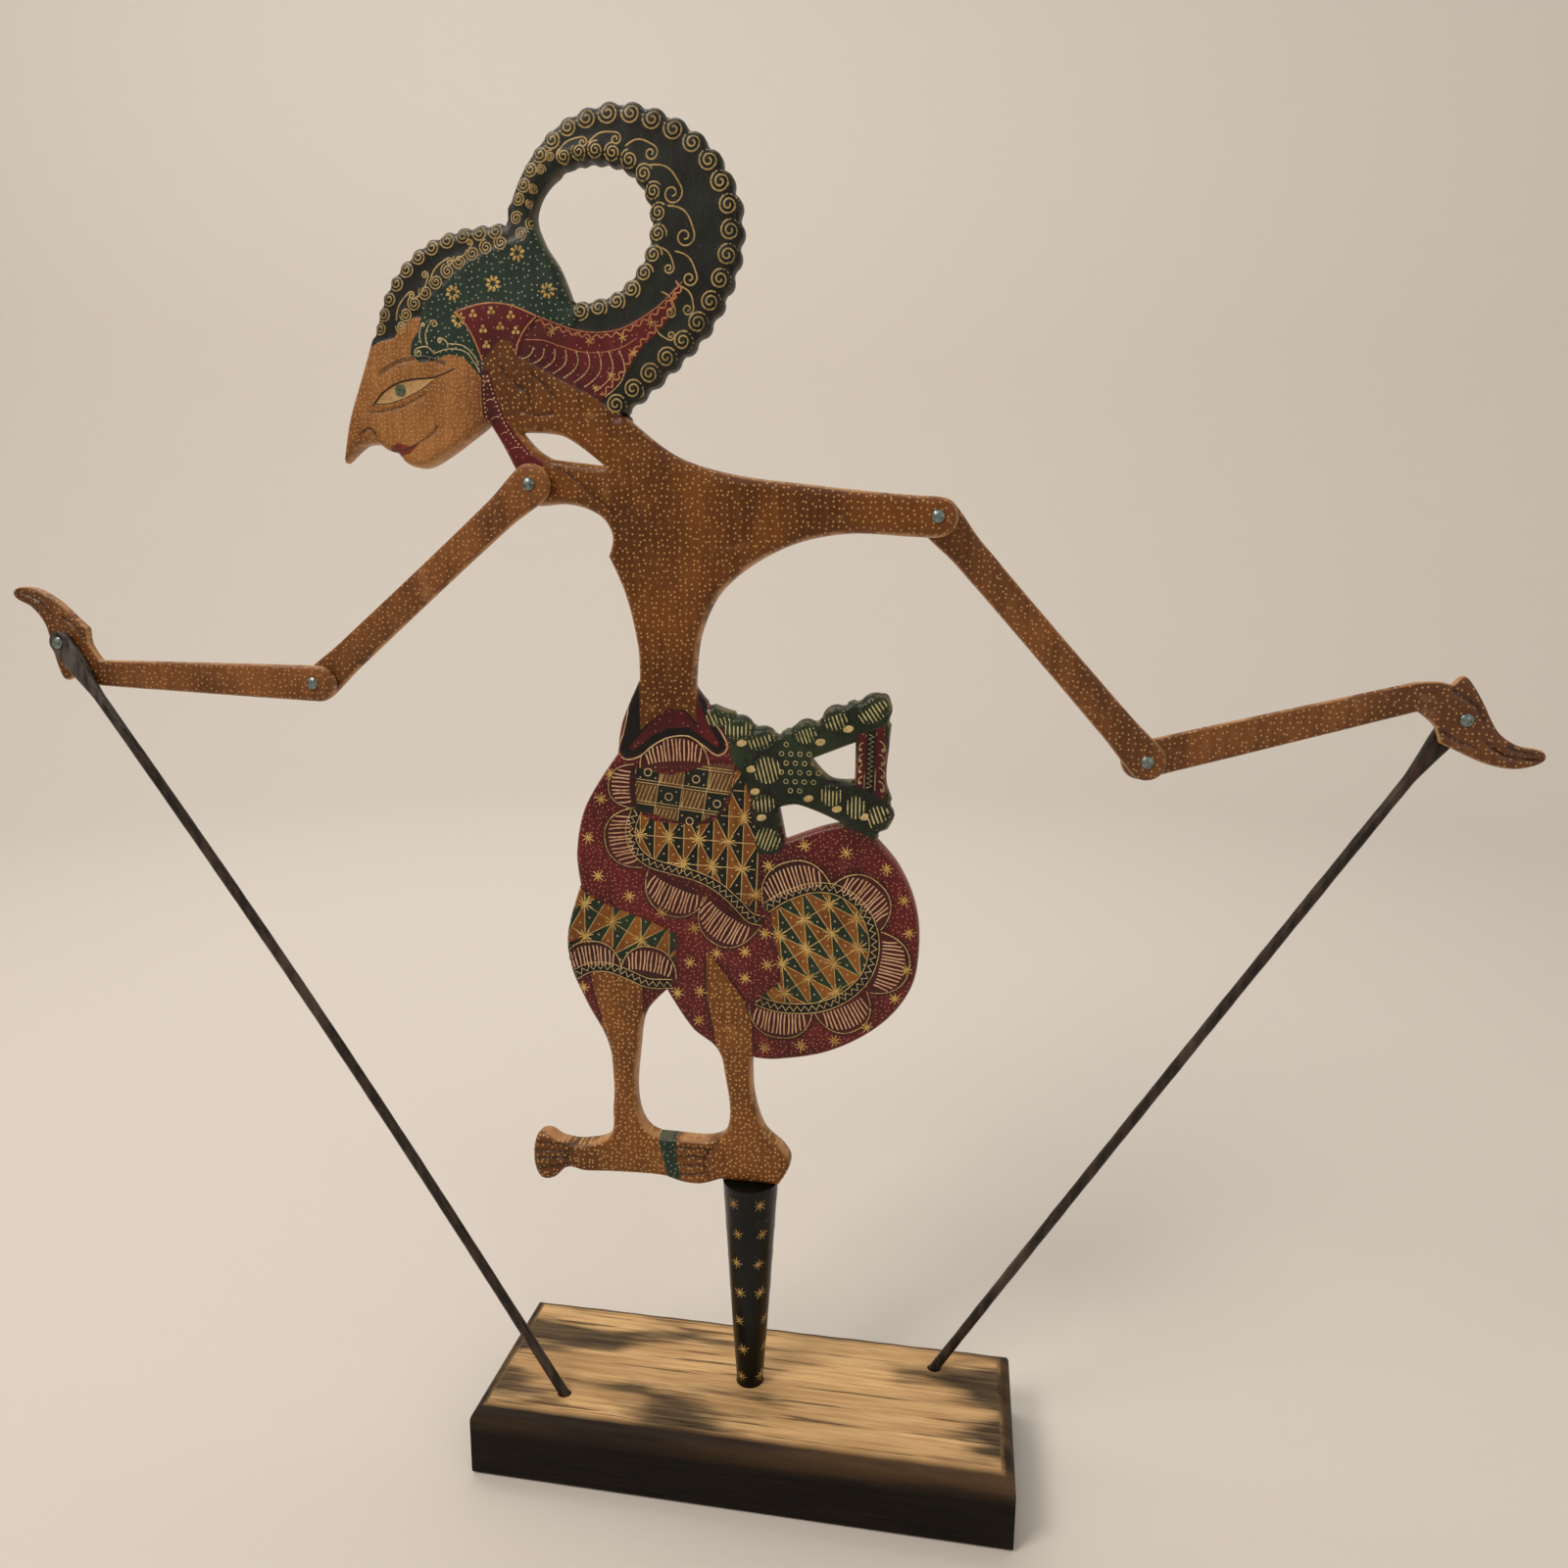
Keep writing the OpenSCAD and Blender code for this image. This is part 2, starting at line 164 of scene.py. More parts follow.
def value_of(tree, value, socket):
    """Gives a socket its value, or links it to another node."""
    if isinstance(value, bpy.types.NodeSocket):
        tree.links.new(value, socket)
    else:
        socket.default_value = value


def reckon(tree, kind, first, second=0.0, clamp=False):
    """One arithmetic node."""
    node = tree.nodes.new("ShaderNodeMath")
    node.operation = kind
    node.use_clamp = clamp
    value_of(tree, first, node.inputs[0])
    value_of(tree, second, node.inputs[1])
    return node.outputs[0]


def ramp(tree, value, low, high, start=0.0, end=1.0):
    """A soft step of a value from low to high."""
    node = tree.nodes.new("ShaderNodeMapRange")
    node.interpolation_type = "SMOOTHSTEP"
    value_of(tree, value, node.inputs["Value"])
    node.inputs["From Min"].default_value = low
    node.inputs["From Max"].default_value = high
    node.inputs["To Min"].default_value = start
    node.inputs["To Max"].default_value = end
    return node.outputs[0]


def over(tree, share, under, top):
    """One colour laid over another by a share."""
    node = tree.nodes.new("ShaderNodeMix")
    node.data_type = "RGBA"
    value_of(tree, share, node.inputs[0])
    value_of(tree, under, node.inputs[6])
    value_of(tree, top, node.inputs[7])
    return node.outputs[2]


def place_of(tree):
    """The piece's own coordinates, as three values in metres and as one vector."""
    where = tree.nodes.new("ShaderNodeTexCoord")
    parts = tree.nodes.new("ShaderNodeSeparateXYZ")
    tree.links.new(where.outputs["Object"], parts.inputs[0])
    return parts.outputs[0], parts.outputs[1], parts.outputs[2], where.outputs["Object"]


def figured(tree, vector, across, deep, up, detail, rough):
    """Noise with so many features to a metre in each direction."""
    stretch = tree.nodes.new("ShaderNodeMapping")
    stretch.inputs["Scale"].default_value = (across, deep, up)
    tree.links.new(vector, stretch.inputs["Vector"])
    node = tree.nodes.new("ShaderNodeTexNoise")
    node.inputs["Scale"].default_value = 1.0
    node.inputs["Detail"].default_value = detail
    node.inputs["Roughness"].default_value = rough
    tree.links.new(stretch.outputs[0], node.inputs["Vector"])
    return node.outputs[0]


def emboss(tree, shader, height, depth_mm, strength):
    """Surface relief of a given depth."""
    node = tree.nodes.new("ShaderNodeBump")
    node.inputs["Strength"].default_value = strength
    node.inputs["Distance"].default_value = depth_mm * MM
    value_of(tree, height, node.inputs["Height"])
    tree.links.new(node.outputs[0], shader.inputs["Normal"])


base_finish, tree, shader = finish_for("stained_plank", 0.6, 0.0, 0.15)
across, deep, up, spot = place_of(tree)
fine_grain = figured(tree, spot, 26, 520, 520, 6, 0.65)
broad_grain = figured(tree, spot, 6, 60, 60, 4, 0.55)
cloud = figured(tree, spot, 9, 36, 30, 3, 0.5)
checks = figured(tree, spot, 16, 420, 160, 5, 0.5)
pale = over(tree, ramp(tree, fine_grain, 0.3, 0.7), tint(192, 152, 104), tint(230, 192, 138))
pale = over(tree, ramp(tree, broad_grain, 0.38, 0.7, 0.0, 0.6), pale, tint(154, 120, 80))
grey = over(tree, ramp(tree, fine_grain, 0.3, 0.7), tint(56, 46, 35), tint(108, 90, 64))
from_middle = reckon(tree, "MULTIPLY", reckon(tree, "ABSOLUTE", across), 1000 / 131)
from_ridge = reckon(tree, "MULTIPLY", reckon(tree, "ABSOLUTE", deep), 1000 / 44)
rim_share = reckon(tree, "POWER", from_middle, 3.0)
rim = reckon(tree, "MAXIMUM", rim_share, reckon(tree, "POWER", from_ridge, 2.2))
rubbed = reckon(tree, "SUBTRACT", cloud, reckon(tree, "MULTIPLY", rim, 0.2))
rubbed = reckon(tree, "ADD", rubbed, reckon(tree, "MULTIPLY", fine_grain, 0.1))
top_wood = over(tree, ramp(tree, rubbed, 0.33, 0.48), grey, pale)
check_line = ramp(tree, checks, 0.6, 0.68)
top_wood = over(tree, reckon(tree, "MULTIPLY", check_line, 0.7), top_wood, tint(44, 33, 24))
side_wood = over(tree, ramp(tree, fine_grain, 0.3, 0.7), tint(9, 6, 4), tint(26, 18, 12))
# Painted highlight with wear: the sides turn lighter brown up onto the rounded edge.
shoulder = over(tree, ramp(tree, broad_grain, 0.35, 0.7), tint(40, 31, 23), tint(92, 70, 46))
side_wood = over(tree, ramp(tree, up, 0.022, 0.034), side_wood, shoulder)
worn_step = ramp(tree, up, 0.0347, 0.0358)
wood = over(tree, worn_step, side_wood, top_wood)
# Painted highlight with wear: a pale line along the arris where the rounded edge meets the step.
arris_highlight_and_wear = reckon(tree, "MULTIPLY", ramp(tree, up, 0.0348, 0.0354), ramp(tree, up, 0.03598, 0.0358))
wood = over(tree, reckon(tree, "MULTIPLY", arris_highlight_and_wear, ramp(tree, cloud, 0.3, 0.6)), wood, tint(176, 142, 98))
tree.links.new(wood, shader.inputs["Base Color"])
grain_height = reckon(tree, "SUBTRACT", fine_grain, reckon(tree, "MULTIPLY", check_line, 0.8))
emboss(tree, shader, grain_height, 0.5, 0.6)

# Points along a long side, along a short side and round a hole
across_steps, deep_steps, hole_steps = 64, 22, 24
side_top = 28.9


def board_ring(inset, height):
    """Points round the board at one height, set in from its sides, with a slightly worn line."""
    half_w, half_d = base_w / 2 - inset, base_d / 2 - inset
    corners = [(-half_w, -half_d), (half_w, -half_d), (half_w, half_d), (-half_w, half_d)]
    made = []
    for k in range(4):
        (x0, y0), (x1, y1) = corners[k], corners[(k + 1) % 4]
        count = across_steps if k % 2 == 0 else deep_steps
        for j in range(count):
            x = x0 + (x1 - x0) * j / count
            y = y0 + (y1 - y0) * j / count
            worn = 0.12 * (math.sin(x * 0.13 + y * 0.4) + math.sin(x * 0.31 + 2))
            made.append((x, y - worn * y / half_d if height > 20 else y, height))
    return made


def hole_ring(foot, head, radius, height):
    """The ring that a slanted round hole leaves at one height."""
    run = (head - foot).normalized()
    made = []
    for k in range(hole_steps):
        a = 2 * math.pi * k / hole_steps
        at = Vector((math.cos(a), math.sin(a), 0)) * radius
        side = at - run * at.dot(run)
        rim_point = foot + side.normalized() * radius
        made.append(rim_point + run * ((height - rim_point.z) / run.z))
    return made


profile = [(1.2, 0.0), (0.2, 1.0), (0.0, 2.2), (0.0, 16.0), (0.0, side_top)]
for k in range(1, 7):
    a = math.radians(15 * k)
    profile.append((edge_r * (1 - math.cos(a)), side_top + edge_r * math.sin(a)))
profile += [(6.45, 35.5), (6.6, 35.85), (7.0, 36.0), (8.0, 36.0)]
verts, faces = [], []
ring_size = 2 * (across_steps + deep_steps)
for row, (inset, height) in enumerate(profile):
    verts += board_ring(inset, height)
    for k in range(ring_size):
        n = (k + 1) % ring_size
        if row:
            faces.append(((row - 1) * ring_size + k, (row - 1) * ring_size + n,
                          row * ring_size + n, row * ring_size + k))
faces.append(tuple(reversed(range(ring_size))))
top_start = (len(profile) - 1) * ring_size
up_line = Vector((0, 0, base_h))
holes = []
for foot, head, radius, depth in (
    (up_line, up_line + Vector((0, 0, 10)), socket_r, 25),
    (rod_foot_left, wrist_left, rod_hole_r, 19),
    (rod_foot_right, wrist_right, rod_hole_r, 19),
):
    holes.append([hole_ring(foot, head, radius, h) for h in (base_h, base_h - 1, base_h - depth)])
flat = [Vector(v[:2]) for v in verts[top_start:]]
borders = [(k, (k + 1) % ring_size) for k in range(ring_size)]
for rings in holes:
    start = len(flat)
    flat += [Vector(p[:2]) for p in rings[0]]
    borders += [(start + k, start + (k + 1) % hole_steps) for k in range(hole_steps)]
_, _, cells, origin, _, _ = delaunay_2d_cdt(flat, borders, [], 0, 1e-4)
number = [sources[0] for sources in origin]
first_hole = len(verts)
for rings in holes:
    for ring in rings:
        verts += [tuple(p) for p in ring]


def top_vertex(k):
    """Board vertex that a point of the flat top stands for."""
    source = number[k]
    if source < ring_size:
        return top_start + source
    hole, place = divmod(source - ring_size, hole_steps)
    return first_hole + hole * 3 * hole_steps + place


for cell in cells:
    rims_met = {(number[k] - ring_size) // hole_steps for k in cell}
    if rims_met not in ({0}, {1}, {2}):
        faces.append(tuple(top_vertex(k) for k in cell))
for hole in range(3):
    start = first_hole + hole * 3 * hole_steps
    for row in range(2):
        for k in range(hole_steps):
            n = (k + 1) % hole_steps
            faces.append((start + n, start + k, start + hole_steps + k, start + hole_steps + n))
        start += hole_steps
    faces.append(tuple(start + k for k in range(hole_steps)))
base = mesh_piece("base_plank", [Vector(v) * MM for v in verts], faces, [base_finish], sharp_deg=50)
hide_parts("base_board")
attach(base, "stand")

# ---- Stake ----
# A tapered wooden spindle let into the board below and into the heel above.
# It has black-green lacquer, rubbed glossy, and rows of brushed gold stars.
stake_h = 110.5
sole_z = base_h + stake_h
foot_r, top_r = 6.5, 13.5

lacquer, tree, shader = finish_for("black_lacquer", 0.28, 0.08, 0.2)
across, deep, up, spot = place_of(tree)
rub = figured(tree, spot, 60, 60, 22, 4, 0.6)
nick = figured(tree, spot, 420, 420, 160, 3, 0.6)
body_tone = over(tree, ramp(tree, rub, 0.42, 0.7), tint(5, 7, 6), tint(16, 22, 17))
body_tone = over(tree, ramp(tree, nick, 0.66, 0.74, 0.0, 0.5), body_tone, tint(96, 84, 60))
tree.links.new(body_tone, shader.inputs["Base Color"])
emboss(tree, shader, nick, 0.12, 0.5)


def stake_radius(share):
    """Radius at a share of the height above the board, with a slight swell low down."""
    return foot_r + (top_r - foot_r) * share + 0.35 * math.sin(math.pi * share) * (1 - share)


stake_profile = [(0.001, 12.0), (foot_r - 0.6, 12.0), (foot_r, 13.0), (foot_r, base_h)]
for k in range(1, 13):
    stake_profile.append((stake_radius(k / 12), base_h + stake_h * k / 12 - 0.01))
stake_profile += [(top_r - 0.4, sole_z), (3.0, sole_z), (3.0, sole_z + 19.5), (0.001, sole_z + 19.5)]
verts, faces = turned(stake_profile, 48)
stake = mesh_piece("stake_spindle", [Vector(v) * MM for v in verts], faces, [lacquer], sharp_deg=50)
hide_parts("stake")
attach(stake, "figure")


def paint_finish(name, colour, deep_colour, roughness=0.42, coat=0.15, metal=0.0):
    """Brushed paint whose strokes vary a little in thickness."""
    made, tree, shader = finish_for(name, roughness, coat)
    shader.inputs["Metallic"].default_value = metal
    across, deep, up, spot = place_of(tree)
    load = figured(tree, spot, 520, 520, 520, 3, 0.6)
    patch = figured(tree, spot, 60, 60, 60, 3, 0.5)
    load_share = reckon(tree, "MULTIPLY", load, 0.55)
    mixed = reckon(tree, "ADD", load_share, reckon(tree, "MULTIPLY", patch, 0.45))
    brushed = over(tree, ramp(tree, mixed, 0.36, 0.6), deep_colour, colour)
    tree.links.new(brushed, shader.inputs["Base Color"])
    emboss(tree, shader, load, 0.15, 0.4)
    return made


gold = paint_finish("gold_paint", tint(205, 172, 98), tint(150, 112, 52), 0.38, 0.15, 0.15)


def square_to(line):
    """Unit steps to the left of an open line, one for each of its points."""
    run = np.gradient(line, axis=0)
    side = np.column_stack([-run[:, 1], run[:, 0]])
    return side / np.maximum(np.linalg.norm(side, axis=1), 1e-9)[:, None]


class Brush:
    """Thick paint of one colour, laid on a surface stroke by stroke, in millimetres."""

    def __init__(self, lay):
        self.lay = lay
        self.verts = []
        self.faces = []

    def stroke(self, points, width, lift=0.1, fade=False):
        points = np.array(points, float)
        if len(points) < 2:
            return
        side = square_to(points)
        last = None
        for k, point in enumerate(points):
            half = width / 2 * (1 - 0.5 * k / (len(points) - 1) if fade else 1)
            row = [self.lay(*(point + side[k] * s * half), lift if s == 0 else -0.03)
                   for s in (-1, 0, 1)]
            if None in row:
                last = None
                continue
            start = len(self.verts)
            self.verts += row
            if last is not None:
                self.faces.append((last, start, start + 1, last + 1))
                self.faces.append((last + 1, start + 1, start + 2, last + 2))
            last = start

    def dab(self, centre, outline, lift):
        ring = [self.lay(*p, -0.03) for p in outline]
        middle = self.lay(*centre, lift)
        if None in ring or middle is None:
            return
        start = len(self.verts)
        self.verts += [middle] + ring
        count = len(ring)
        for k in range(count):
            self.faces.append((start, start + 1 + k, start + 1 + (k + 1) % count))

    def spot(self, centre, radius, lift, sides=8):
        ring = []
        for k in range(sides):
            a = 2 * math.pi * k / sides
            ring.append((centre[0] + radius * math.cos(a), centre[1] + radius * math.sin(a)))
        self.dab(centre, ring, lift)

    def star(self, centre, radius, rays, width, turn):
        for k in range(rays):
            a = turn + 2 * math.pi * k / rays
            reach = radius * (1 if k % 2 == 0 else 0.82)
            aim = np.array([math.cos(a), math.sin(a)])
            ray = [np.array(centre) + aim * reach * t for t in (0.05, 0.4, 0.75, 1)]
            self.stroke(ray, width, 0.14, True)
        self.spot(centre, width * 0.75, 0.2)

    def lay_down(self, name, finish, body, slot, mirror=None):
        verts, faces = list(self.verts), list(self.faces)
        if mirror is not None:
            start = len(verts)
            verts += [Vector((v[0], 2 * mirror - v[1], v[2])) for v in self.verts]
            faces += [tuple(start + k for k in reversed(f)) for f in self.faces]
        piece = mesh_piece(name, [Vector(v) * MM for v in verts], faces, [finish])
        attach(piece, body)
        return piece


def on_stake(round_by, height, lift):
    """A place on the stake, from the distance round it and its height."""
    radius = stake_radius((height - base_h) / stake_h)
    a = round_by / radius
    return Vector(((radius + lift) * math.cos(a), (radius + lift) * math.sin(a), height))


stake_stars = Brush(on_stake)
for row in range(7):
    height = 42 + 16.2 * row
    radius_here = foot_r + (top_r - foot_r) * (height - base_h) / stake_h
    count = 4 if row < 3 else 6
    for k in range(count):
        middle = math.radians(360 * (k + 0.12 * (row % 2)) / count - 118) * radius_here
        stake_stars.star((middle, height), 3.2 + 0.25 * math.sin(row * 2.3 + k), 8, 0.6, 0.4 * row)
stake_stars.lay_down("stake_stars", gold, "figure", "stake_lacquer")

# ---- Figure ----
# One 12 mm plank of light close-grained wood, sawn to outline, its edges rounded with a knife.
# Both faces are carved in low relief, painted with small dots and motifs, and varnished.
plank_half, round_r = 6.0, 4.0
shoulder_r = 8.5


def shoulder_arc(pin, first_deg, last_deg, step_deg):
    """Points round the end of a shoulder."""
    made = []
    for deg in range(first_deg, last_deg, step_deg):
        a = math.radians(deg)
        made.append([pin[0] + shoulder_r * math.cos(a), pin[1] + shoulder_r * math.sin(a)])
    return made


# Points are millimetres across from the stake's axis and up from its top; a third value marks a corner
arc_shoulder_right = shoulder_arc((81, 315.5), 90, -91, -30)
arc_shoulder_left = shoulder_arc((-99, 329.5), -90, -221, -26)
hair_front = [
    [-173.5, 396, 0], [-168.5, 409.5], [-160, 422.5], [-146.5, 433], [-129, 438.5], [-108, 440, 0],
]
loop_outer = [
    [-107.5, 448], [-98, 465.5], [-82, 479.5], [-58, 485], [-34.5, 478.5], [-16.5, 465],
    [-6, 446], [-4.5, 429.5], [-8, 414], [-18.5, 394.5], [-35, 378], [-57.5, 359.5, 0],
]
shoulder_line = [[-35, 342.5], [-9, 334], [28, 329], [55, 326], [72, 324.5]]
right_side = [[72, 307.3], [40, 308.5], [13, 302], [-12.5, 285], [-23.5, 264], [-26, 241, 0]]
sash_edge = [
    [-18.5, 232.5], [-2.5, 227], [12, 221], [22, 227], [28, 226.5], [35, 232],
    [54, 239], [60.5, 240.5], [63.5, 236.5], [62.5, 217.5], [61.5, 200.5], [65, 186.5], [58, 173.5, 0],
]
train = [
    [68, 162], [76, 144.5], [78.5, 125.5], [75.5, 104.5], [62.5, 86], [39, 71], [13, 64.5], [1, 64.5, 0],
]
heel = [[1.5, 46], [7, 28], [17, 18.5], [20, 11.5], [14.5, 0, 0]]
sole = [
    [-14.5, 0, 0], [-24, -3.5], [-33, -3.5], [-44, -1], [-69, -1.5], [-84, -2.5], [-92.5, -1.5],
    [-100.5, -8], [-107, -8], [-110.5, 1], [-108.5, 14.5], [-103, 16.5], [-96, 13],
    [-84, 12.5], [-70.5, 18],
]
front_leg = [
    [-68.5, 33.5], [-68, 46.5], [-70.5, 67], [-80.5, 86], [-88.5, 105], [-89.5, 121.5],
    [-82.5, 145.5, 0],
]
hip = [[-84, 161.5], [-79, 184], [-63, 209, 0], [-60.5, 224], [-52, 243.5, 0]]
left_side = [[-52.5, 258.5], [-58, 282], [-65.5, 298.5, 0], [-63.5, 307.5], [-69.5, 316.5], [-84, 321.5]]
neck_strap = [[-108, 336, 0], [-114, 347.5], [-120, 357, 0]]
jaw = [[-131, 349.5], [-142, 342.5], [-152, 338], [-160, 339.5], [-164.5, 344.5, 0], [-169, 345.5]]
nose = [[-173.5, 348.5, 0], [-182, 348], [-191.5, 340.5, 0], [-187.5, 359], [-179.5, 380]]
figure_outline = (
    hair_front + loop_outer + shoulder_line + arc_shoulder_right + right_side + sash_edge + train
    + heel + sole + front_leg + hip + left_side + arc_shoulder_left + neck_strap + jaw + nose
)
loop_opening = [
    [-96, 444.5], [-87.5, 457], [-70.5, 462], [-54.5, 458], [-46, 447], [-44.5, 433.5],
    [-49.5, 420], [-61.5, 409.5], [-80, 406.5, 0], [-86, 421.5], [-93, 432.5],
]
neck_opening = [[-105.5, 353, 0], [-86, 351], [-67, 338, 0], [-91, 341, 0], [-98.5, 345.5]]
leg_opening = [
    [-40.5, 95.5, 0], [-51.5, 82.5], [-55, 63.5], [-56.5, 37], [-50.5, 22.5], [-37, 20], [-15, 22],
    [-10, 32.5], [-12, 53], [-16, 67.5], [-28, 77],
]
sash_opening = [[47.5, 217.5, 0], [28, 209.5, 0], [36.5, 201], [47.5, 200.5, 0]]
sash_gap = [[13, 186.5, 0], [22, 188], [42, 180.5, 0], [32.5, 178], [16, 171.5, 0]]


def flowing(points, gap, closed=True):
    """A line through the points, smooth except where a third value marks a corner, evenly stepped."""
    at = [np.array(p[:2], float) for p in points]
    count = len(at)
    sharp = [len(p) > 2 for p in points]

    def heading(i):
        if sharp[i]:
            return np.zeros(2)
        before = at[i - 1] if closed or i > 0 else at[i]
        after = at[(i + 1) % count] if closed or i < count - 1 else at[i]
        chord = after - before
        return chord / np.linalg.norm(chord)

    kept = []
    for i in range(count if closed else count - 1):
        j = (i + 1) % count
        a, b = at[i], at[j]
        reach = np.linalg.norm(b - a)
        pieces = max(2, int(reach / 0.4))
        for k in range(pieces):
            t = k / pieces
            ease = t * t * (3 - 2 * t)
            here = a + (b - a) * ease
            here = here + reach * (heading(i) * t * (1 - t) ** 2 - heading(j) * t * t * (1 - t))
            corner = k == 0 and sharp[i]
            if not kept or corner or np.linalg.norm(here - kept[-1]) >= gap:
                kept.append(here)
    if not closed:
        kept.append(at[-1])
    elif np.linalg.norm(kept[0] - kept[-1]) < gap * 0.6:
        kept.pop()
    return np.array(kept)


def drawn_line(points, gap=1.0):
    """An open smooth line through the points."""
    return flowing(points, gap, False)


def nearest(points, starts, ends):
    """Distance from each point to the nearest of the line pieces."""
    best = np.full(len(points), 1e9)
    run = ends - starts
    size = np.maximum((run ** 2).sum(1), 1e-12)
    for low in range(0, len(points), 1500):
        some = points[low:low + 1500, None, :] - starts[None]
        share = np.clip((some * run[None]).sum(2) / size[None], 0, 1)
        away = some - share[..., None] * run[None]
        best[low:low + 1500] = np.sqrt((away ** 2).sum(2).min(1))
    return best


def inside(points, loop):
    """Which points lie inside a closed loop."""
    points = np.asarray(points, float)
    found = np.zeros(len(points), bool)
    low, high = loop.min(0), loop.max(0)
    near = ((points >= low) & (points <= high)).all(1)
    some = points[near]
    if not len(some):
        return found
    odd = np.zeros(len(some), bool)
    for a, b in zip(loop, np.roll(loop, -1, axis=0)):
        if a[1] == b[1]:
            continue
        between = (some[:, 1] < a[1]) != (some[:, 1] < b[1])
        cross = a[0] + (some[:, 1] - a[1]) * (b[0] - a[0]) / (b[1] - a[1])
        odd ^= between & (some[:, 0] < cross)
    found[near] = odd
    return found


def along_line(line, gap, first=0.0):
    """Places at even steps along a line, with the way it runs there."""
    line = np.asarray(line, float)
    step = np.linalg.norm(np.diff(line, axis=0), axis=1)
    total = np.concatenate([[0], np.cumsum(step)])
    made = []
    for at in np.arange(first, total[-1], gap):
        k = min(np.searchsorted(total, at, side="right") - 1, len(step) - 1)
        share = (at - total[k]) / step[k]
        way = (line[k + 1] - line[k]) / step[k]
        made.append((line[k] + share * (line[k + 1] - line[k]), way))
    return made


def offset_line(line, distance):
    """A line beside another."""
    line = np.asarray(line, float)
    return line + square_to(line) * distance


def beads(line, first_r, full_r, growth=0.3):
    """Round curls side by side along a line: the place, size and way of each."""
    pitch = 1.86
    made, at = [], first_r
    fine_steps = along_line(line, 0.25)
    while at < 0.25 * (len(fine_steps) - 1):
        radius = min(full_r, first_r + growth * len(made))
        place, way = fine_steps[int(at / 0.25)]
        made.append((place, radius, way))
        at += pitch * radius
    return made


def square_round(loop):
    """Unit steps square to a closed loop, one for each of its points."""
    run = np.roll(loop, -1, axis=0) - np.roll(loop, 1, axis=0)
    side = np.column_stack([run[:, 1], -run[:, 0]])
    return side / np.maximum(np.linalg.norm(side, axis=1), 1e-9)[:, None]


def scalloped(loop, rounds):
    """The loop with its line swelling out round each of the given circles."""
    most = 1.1
    normal = square_round(loop)
    made = loop.copy()
    for k, point in enumerate(loop):
        best = None
        for centre, radius, _ in rounds:
            away = point - centre
            if np.linalg.norm(away) > radius + 2.5:
                continue
            way = normal[k] if away @ normal[k] > 0 else -normal[k]
            along = away @ way
            under = along ** 2 - away @ away + radius ** 2
            reach = math.sqrt(under) - along if under > 0 else -most
            if best is None or reach > best[0]:
                best = (reach, way)
        if best is not None:
            made[k] = point + best[1] * max(-most, min(most, best[0]))
    return made


